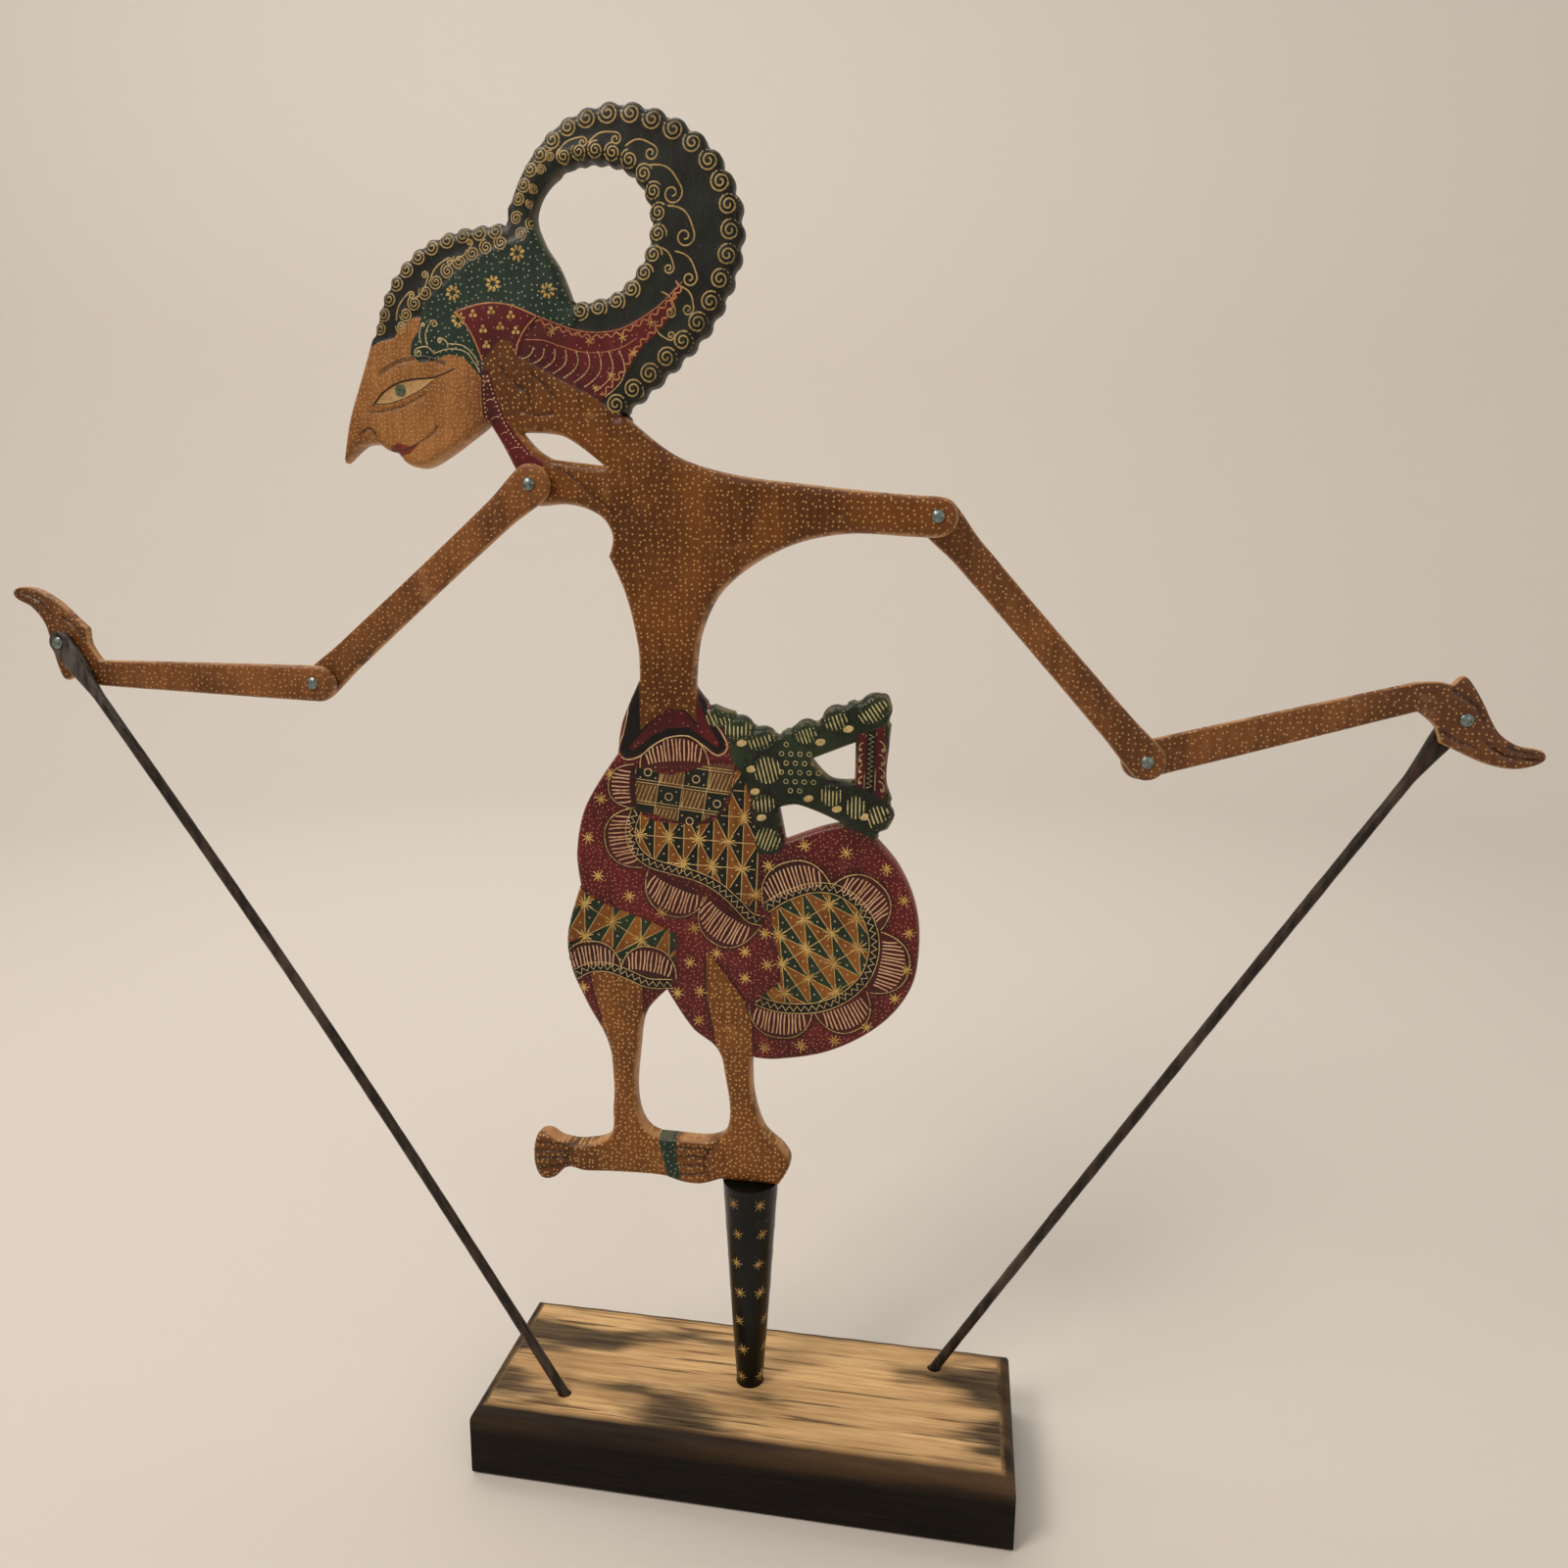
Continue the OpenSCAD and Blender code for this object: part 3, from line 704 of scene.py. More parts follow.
class Plank:
    """A board sawn to outline, its edges rounded, carved and painted alike on both faces."""

    def __init__(self, loops, half, edge, middle, lift=0.0):
        self.loops = loops
        self.half = half
        self.edge = edge
        self.middle = middle
        self.lift = lift
        self.fields = []
        self.cuts = []
        self.domes = []

    def field(self, outline, finish, sink, within=None, step=1.6):
        """Paints a field, and sinks it below the plank's face. Later fields cover earlier ones."""
        self.fields.append((np.asarray(outline, float), finish, sink, within, step))

    def cut(self, points, depth, width, gap=0.8):
        """A knife line."""
        self.cuts.append((drawn_line(points, gap), depth, width))

    def borders(self):
        """Both ends of every piece of the sawn edges."""
        starts = np.concatenate([loop for loop in self.loops])
        ends = np.concatenate([np.roll(loop, -1, axis=0) for loop in self.loops])
        return starts, ends

    def holds(self, points):
        """Which points lie in the wood."""
        found = inside(points, self.loops[0])
        for loop in self.loops[1:]:
            found &= ~inside(points, loop)
        return found

    def field_at(self, points):
        """Number of the field that shows at each point, or -1 for the bare ground."""
        shown = np.full(len(points), -1)
        for k, (outline, _, _, within, _) in enumerate(self.fields):
            here = inside(points, outline)
            if within is not None:
                here &= inside(points, within)
            shown[here] = k
        return shown

    def sink_at(self, points, reach, ways):
        """Mean sink round each point."""
        sinks = np.array([f[2] for f in self.fields] + [0.0])
        total = np.zeros(len(points))
        for k in range(ways):
            a = 2 * math.pi * k / ways
            total += sinks[self.field_at(points + reach * np.array([math.cos(a), math.sin(a)]))]
        return total / ways

    def relief(self, points):
        """Distance of the face from the plank's middle, and for each point a share of dark wax and
        painted shade, by how deep in a crevice it lies.
        """
        away = np.minimum(nearest(points, *self.borders()), self.edge)
        fall = np.maximum(self.edge ** 2 - (self.edge - away) ** 2, 0)
        height = self.half - self.edge + np.sqrt(fall)
        share = np.clip(away / self.edge, 0, 1) ** 0.7
        carved = np.zeros(len(points))
        crevice_wax_and_shade = np.zeros(len(points))
        # Hollows, knife lines and the rims of the raised curls are marked for dark wax and painted shade.
        if self.fields:
            carved = self.sink_at(points, 0.4, 4)
            crevice_wax_and_shade = np.clip((carved - self.sink_at(points, 1.5, 8)) / 0.22, 0, 1)
        for line, depth, width in self.cuts:
            groove = np.exp(-(nearest(points, line[:-1], line[1:]) / width) ** 2)
            carved = carved + depth * groove
            crevice_wax_and_shade = np.maximum(crevice_wax_and_shade, groove)
        for centre, radius, rise in self.domes:
            from_centre = np.linalg.norm(points - centre, axis=1) / radius
            carved = carved - rise * np.clip(1 - from_centre ** 2, 0, 1)
            crevice_wax_and_shade = np.maximum(crevice_wax_and_shade, 0.6 * np.exp(-((from_centre - 1.05) / 0.12) ** 2))
        ripple = 0.07 * (np.sin(points[:, 0] * 0.21 + points[:, 1] * 0.13)
                         + np.sin(points[:, 1] * 0.27 - points[:, 0] * 0.11) - 2)
        return height - (carved - ripple) * share, crevice_wax_and_shade

    def kept_lines(self):
        """Points and joins that the mesh keeps: the sawn edges, then the edges of the fields."""
        fixed, joins, edges = [], [], []
        for loop in self.loops:
            start = len(fixed)
            fixed += list(loop)
            joins += [(start + k, start + (k + 1) % len(loop)) for k in range(len(loop))]
        for outline, _, sink, within, gap in self.fields:
            line = outline
            if gap:
                line = flowing([list(p) + [0] for p in outline], gap)
            keep = self.holds(line)
            if within is not None:
                keep &= inside(line, within)
            start = len(fixed)
            fixed += list(line)
            for k in range(len(line)):
                n = (k + 1) % len(line)
                if keep[k] or keep[n]:
                    joins.append((start + k, start + n))
            if sink or gap:
                edges.append(line)
        return np.array(fixed), joins, edges

    def loose_points(self, edges, step):
        """Points that carry the rounded edge, the steps between fields, the cuts and the open face."""
        free = []
        for loop in self.loops:
            for deg in (22.5, 45, 67.5, 90):
                inset = self.edge * (1 - math.cos(math.radians(deg)))
                for side in (1, -1):
                    ring = loop + square_round(loop) * inset * side
                    ring = ring[self.holds(ring)]
                    free.append(ring[nearest(ring, *self.borders()) > inset * 0.93])
        for line in edges:
            free += [line + square_round(line) * 0.8, line - square_round(line) * 0.8]
        for line, _, width in self.cuts:
            free += [line + square_to(line) * width * s for s in (-1.6, -0.8, 0, 0.8, 1.6)]
        low, high = self.loops[0].min(0), self.loops[0].max(0)
        rows = []
        for row, z in enumerate(np.arange(low[1], high[1], step * 0.87)):
            xs = np.arange(low[0] + (row % 2) * step / 2, high[0], step)
            rows.append(np.column_stack([xs, np.full(len(xs), z)]))
        grid = np.concatenate(rows)
        grid = grid[self.holds(grid)]
        free.append(grid[nearest(grid, *self.borders()) > self.edge + step * 0.4])
        loose = np.concatenate([f for f in free if len(f)])
        return loose[self.holds(loose)]

    def painted(self, ground, centres):
        """The finishes in use, and the number of the one that each face takes."""
        finishes, taken = [ground], []
        for _, finish, _, _, _ in self.fields:
            if finish not in finishes:
                finishes.append(finish)
            taken.append(finishes.index(finish))
        return finishes, np.array(taken + [0])[self.field_at(centres)]

    def saw(self, name, ground, step=2.4):
        """Makes the mesh: one face of the board, its mirror image, and the edge between them."""
        fixed, joins, edges = self.kept_lines()
        loose = self.loose_points(edges, step)
        ends = np.array(joins)
        loose = loose[nearest(loose, fixed[ends[:, 0]], fixed[ends[:, 1]]) > 0.3]
        taken, chosen = set(), []
        for point in loose:
            cell = (int(point[0] // 0.75), int(point[1] // 0.75))
            if cell not in taken:
                taken.add(cell)
                chosen.append(point)
        flat = [Vector(p) for p in list(fixed) + chosen]
        laid, _, cells, _, _, _ = delaunay_2d_cdt(flat, joins, [], 0, 1e-3)
        points = np.array([tuple(p) for p in laid])
        cells = np.array(cells)
        cells = cells[self.holds(points[cells].mean(1))]
        finishes, slots = self.painted(ground, points[cells].mean(1))
        used, compact = np.unique(cells, return_inverse=True)
        cells = compact.reshape(cells.shape)
        points = points[used]
        height, crevice_wax_and_shade = self.relief(points)
        count = len(points)
        front = np.column_stack([points[:, 0], self.middle - height, points[:, 1] + self.lift])
        back = np.column_stack([points[:, 0], self.middle + height, points[:, 1] + self.lift])
        first, second, third = (points[cells[:, k]] for k in range(3))
        one, other = second - first, third - first
        turn = one[:, 0] * other[:, 1] - one[:, 1] * other[:, 0]
        cells = np.where((turn > 0)[:, None], cells, cells[:, ::-1])
        sides = {}
        for face, (i, j, k) in enumerate(cells):
            for side in ((i, j), (j, k), (k, i)):
                sides[side] = face
        walls, wall_slots = [], []
        for (i, j), face in sides.items():
            if (j, i) not in sides:
                walls.append((j, i, i + count, j + count))
                wall_slots.append(slots[face])
        faces = [tuple(c) for c in cells] + [tuple(c[::-1] + count) for c in cells] + walls
        face_slots = list(slots) + list(slots) + wall_slots
        self.tree = BVHTree.FromPolygons([tuple(v) for v in front], [tuple(c) for c in cells])
        verts = np.concatenate([front, back]) * MM
        piece = mesh_piece(name, verts, faces, finishes, [int(s) for s in face_slots], 62)
        # The crevice mask, dark wax and painted shade, kept on the mesh for the finishes.
        piece.data.attributes.new("crevice_wax_and_shade", "FLOAT", "POINT").data.foreach_set(
            "value", np.concatenate([crevice_wax_and_shade, crevice_wax_and_shade]))
        return piece

    def lay(self, x, z, rise):
        """The place on the front face at a drawn point, raised by a paint thickness."""
        hit = self.tree.ray_cast(Vector((x, -200, z + self.lift)), Vector((0, 1, 0)))
        if hit[0] is None:
            return None
        return Vector((x, hit[0].y - rise, z + self.lift))


def dotted(name, ground, deep_tone, dot, spacing, dot_r, coat=0.08, bare=None, dot_share=0.85, even=0.3):
    """Varnished paint on wood: a ground that varies, streaks of grain, and rows of small dots."""
    made, tree, shader = finish_for(name, 0.4, coat)
    across, deep, up, spot = place_of(tree)
    cloud = figured(tree, spot, 28, 28, 22, 3, 0.55)
    streak = figured(tree, spot, 420, 300, 36, 4, 0.6)
    cloud_share = reckon(tree, "MULTIPLY", cloud, 0.7)
    tone = reckon(tree, "ADD", cloud_share, reckon(tree, "MULTIPLY", streak, 0.3))
    colour = over(tree, ramp(tree, tone, 0.36, 0.64), deep_tone, ground)
    flat = tree.nodes.new("ShaderNodeCombineXYZ")
    tree.links.new(across, flat.inputs[0])
    tree.links.new(up, flat.inputs[1])
    dots = tree.nodes.new("ShaderNodeTexVoronoi")
    dots.voronoi_dimensions = "2D"
    dots.inputs["Scale"].default_value = 1 / (spacing * MM)
    dots.inputs["Randomness"].default_value = 1 - even
    tree.links.new(flat.outputs[0], dots.inputs["Vector"])
    size = dot_r / spacing
    mark = ramp(tree, dots.outputs["Distance"], size * 1.25, size * 0.7)
    patchy = ramp(tree, figured(tree, spot, 190, 190, 190, 2, 0.5), 0.3, 0.5, 0.35, 1.0)
    mark = reckon(tree, "MULTIPLY", mark, patchy)
    colour = over(tree, reckon(tree, "MULTIPLY", mark, dot_share), colour, dot)
    hollow_wax_and_shade = tree.nodes.new("ShaderNodeAttribute")
    hollow_wax_and_shade.attribute_name = "crevice_wax_and_shade"
    if bare is not None:
        # Worn paint with painted highlight: edges turned away from the faces go pale, as bare wood and as
        # light caught on the rounded rims.
        facing = tree.nodes.new("ShaderNodeTexCoord")
        parts = tree.nodes.new("ShaderNodeSeparateXYZ")
        tree.links.new(facing.outputs["Normal"], parts.inputs[0])
        edge_wear_and_highlight = ramp(tree, reckon(tree, "ABSOLUTE", parts.outputs[1]), 0.9, 0.45)
        wear = ramp(tree, figured(tree, spot, 90, 90, 60, 4, 0.6), 0.34, 0.6)
        scuffs = ramp(tree, figured(tree, spot, 55, 55, 70, 5, 0.68), 0.6, 0.74, 0.0, 0.35)
        bared_and_edge_highlight = reckon(tree, "MAXIMUM", reckon(tree, "MULTIPLY", edge_wear_and_highlight, wear), scuffs)
        sheltered = reckon(tree, "MULTIPLY", hollow_wax_and_shade.outputs["Fac"], 2.0)
        bared_and_edge_highlight = reckon(tree, "SUBTRACT", bared_and_edge_highlight, sheltered, True)
        colour = over(tree, reckon(tree, "MULTIPLY", bared_and_edge_highlight, 0.8), colour, bare)
    # Painted shade with dark wax: the crevice mask turns hollows dark brown.
    colour = over(tree, reckon(tree, "MULTIPLY", hollow_wax_and_shade.outputs["Fac"], 0.75), colour, tint(24, 13, 8))
    tree.links.new(colour, shader.inputs["Base Color"])
    dot_height = reckon(tree, "MULTIPLY", mark, 0.5)
    height = reckon(tree, "ADD", dot_height, reckon(tree, "MULTIPLY", streak, 0.6))
    emboss(tree, shader, height, 0.22, 0.55)
    return made


# Pale bare wood, shown on worn spots and as painted highlight on the rounded edges.
worn = tint(190, 142, 92)
skin = dotted("skin_paint", tint(116, 68, 24), tint(80, 42, 12), tint(198, 154, 90), 2.7, 0.44,
              bare=worn)
leg_skin = dotted("leg_paint", tint(126, 76, 30), tint(90, 50, 18), tint(204, 162, 98), 2.4, 0.48,
                  bare=worn)
face_skin = dotted("face_paint", tint(160, 108, 58), tint(120, 74, 34), tint(206, 164, 104), 1.9, 0.36,
                   bare=worn, dot_share=0.6)
hair = dotted("hair_paint", tint(28, 36, 29), tint(12, 15, 13), tint(56, 66, 50), 5.0, 0.35,
              bare=tint(84, 78, 56), dot_share=0.3)
cap = dotted("cap_paint", tint(30, 54, 45), tint(18, 32, 28), tint(168, 178, 134), 2.9, 0.34,
             bare=tint(88, 88, 64))
maroon = dotted("cloth_paint", tint(100, 28, 30), tint(66, 18, 20), tint(204, 140, 112), 2.1, 0.3,
                bare=tint(142, 84, 66), dot_share=0.75, even=0.15)
maroon_plain = dotted("wing_paint", tint(92, 22, 26), tint(58, 14, 18), tint(206, 144, 112), 4.2, 0.32,
                      bare=tint(142, 84, 66), dot_share=0.6)
lobe_ground = dotted("lobe_paint", tint(74, 28, 28), tint(40, 18, 17), tint(140, 76, 64), 6.0, 0.3,
                     bare=tint(142, 96, 70), dot_share=0.2)
band_black = dotted("band_paint", tint(20, 16, 15), tint(10, 8, 8), tint(60, 50, 40), 6.0, 0.2,
                    dot_share=0.2)
ochre = dotted("ochre_paint", tint(142, 88, 32), tint(104, 58, 20), tint(210, 176, 100), 6.0, 0.3,
               bare=tint(176, 140, 90), dot_share=0.2)
brown = dotted("check_paint", tint(96, 66, 40), tint(62, 40, 24), tint(210, 176, 100), 6.0, 0.3,
               dot_share=0.2)
green_sash = dotted("sash_paint", tint(42, 56, 36), tint(22, 32, 22), tint(110, 112, 72), 5.0, 0.3,
                    bare=tint(122, 114, 78), dot_share=0.3)
dark_tri = dotted("net_dark", tint(24, 30, 25), tint(14, 17, 15), tint(60, 60, 44), 6.0, 0.2,
                  dot_share=0.2)
green_tri = dotted("net_green", tint(34, 54, 36), tint(20, 34, 24), tint(70, 80, 54), 6.0, 0.2,
                   dot_share=0.2)
eye_white = paint_finish("eye_paint", tint(188, 154, 104), tint(162, 126, 80))
eye_grey = paint_finish("iris_paint", tint(92, 104, 86), tint(58, 68, 58), 0.25, 0.5)
dark_line = paint_finish("dark_line_paint", tint(46, 24, 16), tint(28, 14, 10), 0.4, 0.2)
lip_red = paint_finish("lip_paint", tint(120, 48, 36), tint(84, 30, 24), 0.35, 0.3)
cream = paint_finish("cream_paint", tint(206, 182, 134), tint(164, 138, 92))
pink_gold = paint_finish("pink_gold_paint", tint(218, 176, 140), tint(176, 128, 94))

# Curls stand shoulder to shoulder along each edge of the hair, and the edge follows them
outer_curls = beads(offset_line(drawn_line(loop_outer), -4.7), 3.3, 5.3)
front_curls = beads(offset_line(drawn_line(hair_front), -3.7), 3.4, 4.1)
inner_curls = beads(offset_line(drawn_line(loop_opening[:9]), 4.2), 2.9, 4.5, 0.2)
# The inner row starts where the loop is wide enough for both rows
inner_curls = [c for c in inner_curls
               if min(np.linalg.norm(c[0] - o[0]) - o[1] - c[1] for o in outer_curls) > -0.6]
inner_band = drawn_line([
    (-160, 395.5), (-155.5, 404.5), (-148, 411), (-140, 417.5), (-131.5, 423.5), (-122, 428.3),
    (-110, 431.5),
])
band_curls = beads(inner_band, 3.1, 3.7)

# Tufts of the sash: centre, length, width and the way they lie, in degrees
tufts = [
    ((-14, 228), 13, 10, 20), ((-5.5, 222), 13, 10, 0), ((5.5, 217.5), 13, 9, 20),
    ((8, 204), 13, 14, 15), ((6.5, 188.5), 11, 9, 5), ((8.5, 172), 12, 12, -20),
    ((25.3, 221.5), 10, 11, 20), ((38.6, 228), 11, 11, 20), ((56, 232.5), 16, 11, 35),
    ((37.3, 193.5), 10, 11, 0), ((48.5, 188.5), 9, 12, 0), ((59, 184), 11, 13, 20),
]
tuft_rounds = [(np.array(centre), (length + width) / 4 + 0.6, None)
               for centre, length, width, _ in tufts]

figure = Plank(
    [scalloped(flowing(figure_outline, 1.15), outer_curls + front_curls + tuft_rounds),
     scalloped(flowing(loop_opening, 1.15), inner_curls)]
    + [flowing(o, 1.3) for o in (neck_opening, leg_opening, sash_opening, sash_gap)],
    plank_half, round_r, 0.0, sole_z)
for rounds in (outer_curls, front_curls, inner_curls, band_curls):
    figure.domes += [(centre, radius, 0.42) for centre, radius, _ in rounds]

face_edge = [(-200, 330), (-200, 405), (-120, 405), (-121.8, 364.5), (-120, 352), (-114, 330)]
figure.field(face_edge, face_skin, 0.12)
hair_edge = [
    (-180, 388), (-168.5, 392.5), (-162.8, 393.5), (-159, 398), (-153.4, 401.7), (-148.5, 402),
    (-121, 382.5), (-116, 388), (-112.5, 391.5), (-107, 391), (-105, 384.7), (-97.7, 381), (-88.6, 376),
    (-79.5, 371), (-71.7, 367.8), (-66.5, 364.1), (-55.5, 357.9), (-45, 350), (10, 370), (10, 500),
    (-120, 500), (-190, 440),
]
figure.field(hair_edge, hair, 0.5)
cap_edge = [
    (-96, 438), (-103.5, 433), (-110.5, 430.3), (-118.5, 427.7), (-126.6, 424.3), (-133.6, 418.8),
    (-140.5, 413.8), (-147.5, 408), (-149, 402), (-150.5, 396.5), (-154, 392), (-155, 386.6),
    (-150.3, 382.8), (-143.4, 383.9), (-136.5, 386.1), (-129.8, 384.7), (-125.2, 379.8), (-121.5, 375.5),
    (-121, 382.7), (-124.1, 390), (-127.8, 397.3), (-133.3, 404.1), (-123.4, 406.7), (-115.3, 407.4),
    (-106.1, 405.9), (-95, 401.1), (-87.9, 398.5), (-79, 395.5), (-74, 410), (-80, 425), (-88, 440),
]
figure.field(cap_edge, cap, 0.1)
wing_edge = [
    (-95, 401.3), (-87.9, 398.5), (-78.8, 395.3), (-68.5, 393.8), (-58.1, 394.7), (-49.1, 398.5),
    (-40.1, 404), (-33.7, 409.6), (-30.2, 412.8), (-32.2, 404.9), (-35.7, 398.1), (-41.5, 391.9),
    (-46.7, 388), (-51.2, 382.2), (-54.6, 377), (-61.2, 370), (-66.5, 364.5), (-71.7, 367.8),
    (-79.5, 371), (-88.6, 376), (-97.7, 381), (-104.9, 384.7), (-103.3, 390.7), (-99.8, 396.5),
]
figure.field(wing_edge, maroon_plain, 0.35)
ear_edge = [
    (-133.3, 404.1), (-123.4, 406.7), (-115.3, 407.4), (-106.1, 405.9), (-95, 401.3), (-99.8, 396.5),
    (-103.3, 390.7), (-105, 384.7), (-107, 391), (-112.5, 391.5), (-116, 388), (-121, 382.7),
    (-124.1, 390), (-127.8, 397.3),
]
figure.field(ear_edge, maroon_plain, 0.0)
strap_edge = [
    (-121.8, 379), (-122, 364.5), (-120.8, 354.7), (-116.5, 345), (-110, 334), (-96, 334),
    (-94, 339.5), (-99, 342.7), (-106.3, 350.8), (-111.9, 359.4), (-115.5, 369.3), (-118, 379),
]
figure.field(strap_edge, maroon_plain, 0.0)


def net_on(origin, side, turn_deg, edge, finish):
    """Paints every other triangle of a net; gives its knots, lines, triangle middles and fields."""
    clip = np.array(edge, float)
    first = len(figure.fields) - 1
    turn = math.radians(turn_deg)
    u = side * np.array([math.cos(turn), math.sin(turn)])
    v = side * np.array([math.cos(turn + math.pi / 3), math.sin(turn + math.pi / 3)])
    knots, lines, middles = [], [], []
    for i in range(-6, 7):
        for j in range(-6, 7):
            p = np.array(origin) + i * u + j * v
            low, high = p + u / 2, p + u / 2 + v
            knots.append(p)
            lines += [(p, p + u), (p, p + v), (p + u, p + v), (low, p + v), (p + u, high)]
            for half, dark in (((p, low, p + v), True), ((low, p + u, p + v), False),
                               ((p + u, high, p + v), True), ((p + u, p + u + v, high), False)):
                half = np.array(half)
                middles.append(half.mean(0))
                if dark and inside(np.vstack([half, half.mean(0)]), clip).any():
                    figure.field(half, finish, 0.3, clip, 0)
    return knots, lines, middles, range(first, len(figure.fields))


cloth_edge = [(-100, 60), (-100, 248), (0, 248), (10, 225), (95, 225), (95, 58)]
figure.field(cloth_edge, maroon, 0.75)
thigh_edge = [
    (-95, 146), (-81.6, 143.7), (-71.3, 137.8), (-58.5, 133.4), (-45.7, 129), (-35.5, 124.4),
    (-35.6, 112.8), (-41, 102), (-48, 101), (-57.7, 104), (-68.1, 107.6), (-77.3, 107), (-95, 97),
]
figure.field(thigh_edge, ochre, 0.3)
thigh_net = net_on((-66, 128.4), 16.0, -31, thigh_edge, green_tri)
front_strip = [
    (-77.3, 106), (-68.1, 107), (-57.7, 104), (-52.3, 101), (-52, 80), (-50, 62), (-75, 62),
    (-72.2, 80), (-75, 90), (-77, 98.3),
]
figure.field(front_strip, leg_skin, 0.1)
rear_strip = [
    (-20.4, 116.4), (-17.8, 114), (-10.3, 104.1), (-2.1, 93), (1.1, 84.1), (1.8, 62), (-13.8, 62),
    (-16.7, 76.2), (-20.4, 95.6),
]
figure.field(rear_strip, leg_skin, 0.1)
figure.field([(-130, 63), (40, 63), (40, -20), (-130, -20)], leg_skin, 0.1)
ankle_edge = [
    (-46.2, 30), (-46, 24), (-40.5, 1), (-39.5, -10), (-33.5, -10), (-34.4, 0), (-37, 24.5), (-37, 30),
]
figure.field(ankle_edge, cap, 0.0)

middle_lattice = [
    (-52, 181.7), (-45.1, 178.3), (-32.5, 177.6), (-20, 178), (-14, 182.5), (-9, 189), (-7.8, 200),
    (-6, 204), (-2.5, 201), (0, 191), (2, 179), (4.5, 167), (4, 147), (3.4, 136), (-4, 142.5),
    (-15, 150.5), (-25, 155), (-36.5, 157.5), (-47, 160.5), (-52.5, 166.5), (-54, 174.5),
]
figure.field(middle_lattice, ochre, 0.3)
middle_net = net_on((-38, 171), 14.0, -2, middle_lattice, dark_tri)
disc_edge = [
    (9.6, 140.4), (16.9, 145.2), (29, 149.6), (39.9, 149.6), (48.4, 145.1), (54.5, 137.4),
    (57.7, 126.4), (56.8, 116.3), (52.7, 107.2), (44.4, 99), (33.4, 93.7), (21.1, 92.1), (11.1, 92.7),
    (4.8, 95), (14.8, 104.6), (14.7, 114.8), (11.5, 126.1),
]
figure.field(disc_edge, ochre, 0.3)
disc_net = net_on((27, 121), 14.0, 35, disc_edge, green_tri)
checker_edge = [
    (-53.8, 203.5), (-45, 201.5), (-36.1, 200.4), (-27, 203), (-20, 206), (-7, 206), (-7.5, 196),
    (-13.9, 183.3), (-25.1, 177.9), (-36.3, 178.8), (-53.8, 183.5),
]
figure.field(checker_edge, brown, 0.25)
checker_clip = np.array(checker_edge, float)
tile_u = np.array([11.4, -1.2])
tile_v = np.array([1.6, 9.9])
tile_start = np.array([-57.5, 177.0])
tiles = []
for i in range(5):
    for j in range(3):
        corner = tile_start + i * tile_u + j * tile_v
        tile = np.array([corner, corner + tile_u, corner + tile_u + tile_v, corner + tile_v])
        tiles.append((tile, (i + j) % 2 == 0))
        if (i + j) % 2 == 0:
            figure.field(tile, dark_tri, 0.25, checker_clip, 0)


def beside(path, width):
    """The outline of a band of even width along a path."""
    path = np.array(path, float)
    side = square_to(path)
    return np.concatenate([path + side * width / 2, (path - side * width / 2)[::-1]])


bands = {
    "middle": [(-53.5, 183), (-56.5, 174), (-54.7, 165.4), (-47.9, 158.8), (-36.5, 155.6),
               (-25.2, 153), (-15.2, 148.5), (-6.5, 141.4), (0.5, 134.5), (6.5, 133)],
    "disc": [(7.5, 139.5), (16.9, 145.6), (29, 150.2), (39.9, 150), (48.8, 145.5), (55, 137.6),
             (58.2, 126.4), (57.2, 116), (53, 106.8), (44.6, 98.6), (33.4, 93.2), (21.1, 91.5),
             (11.1, 92.2), (3.5, 94.5)],
    "thigh": [(-89, 98.5), (-84.6, 101.5), (-77.3, 105.2), (-68.1, 105.6), (-57.7, 102.4),
              (-48.7, 99.2), (-37, 99.5)],
}
band_lines = {}


def bulge(a, b, rise, share):
    """A place on a rounded lobe that stands on the line from a to b, by a share of the way along."""
    a, b = np.array(a, float), np.array(b, float)
    run = b - a
    up = np.array([-run[1], run[0]]) / np.linalg.norm(run)
    return a + run * share + up * rise * (1 - abs(2 * share - 1) ** 2.4) ** 0.5


# Where each hatched lobe stands on its band, and how far it rises from it
lobes = [
    ((7, 140), (38, 151), 17.0), ((38, 151), (61, 132), 16.0), ((61, 131), (56, 102), 16.0),
    ((55, 102.5), (31, 90.5), 15.5), ((30, 90.5), (0, 92.5), 15.0), ((-20, 144), (-48, 155.5), 17.0),
    ((4.5, 129.5), (-20.5, 145), 18.5), ((-51, 156), (-55.5, 184), 16.0),
    ((-54.5, 184), (-54.5, 204.5), 12.5), ((-51.5, 203), (-19, 205.5), 15.0),
    ((-91, 102), (-62, 105.5), 14.5), ((-62.5, 104.5), (-35.5, 101), 14.5),
]
for a, b, rise in lobes:
    shares = [(1 - math.cos(math.pi * k / 24)) / 2 for k in range(25)]
    figure.field([bulge(a, b, rise, s) for s in shares], lobe_ground, 0.05)
for name, path in bands.items():
    line = drawn_line(path)
    band_lines[name] = line
    figure.field(beside(line[::2], 4.8), band_black, 0.15)

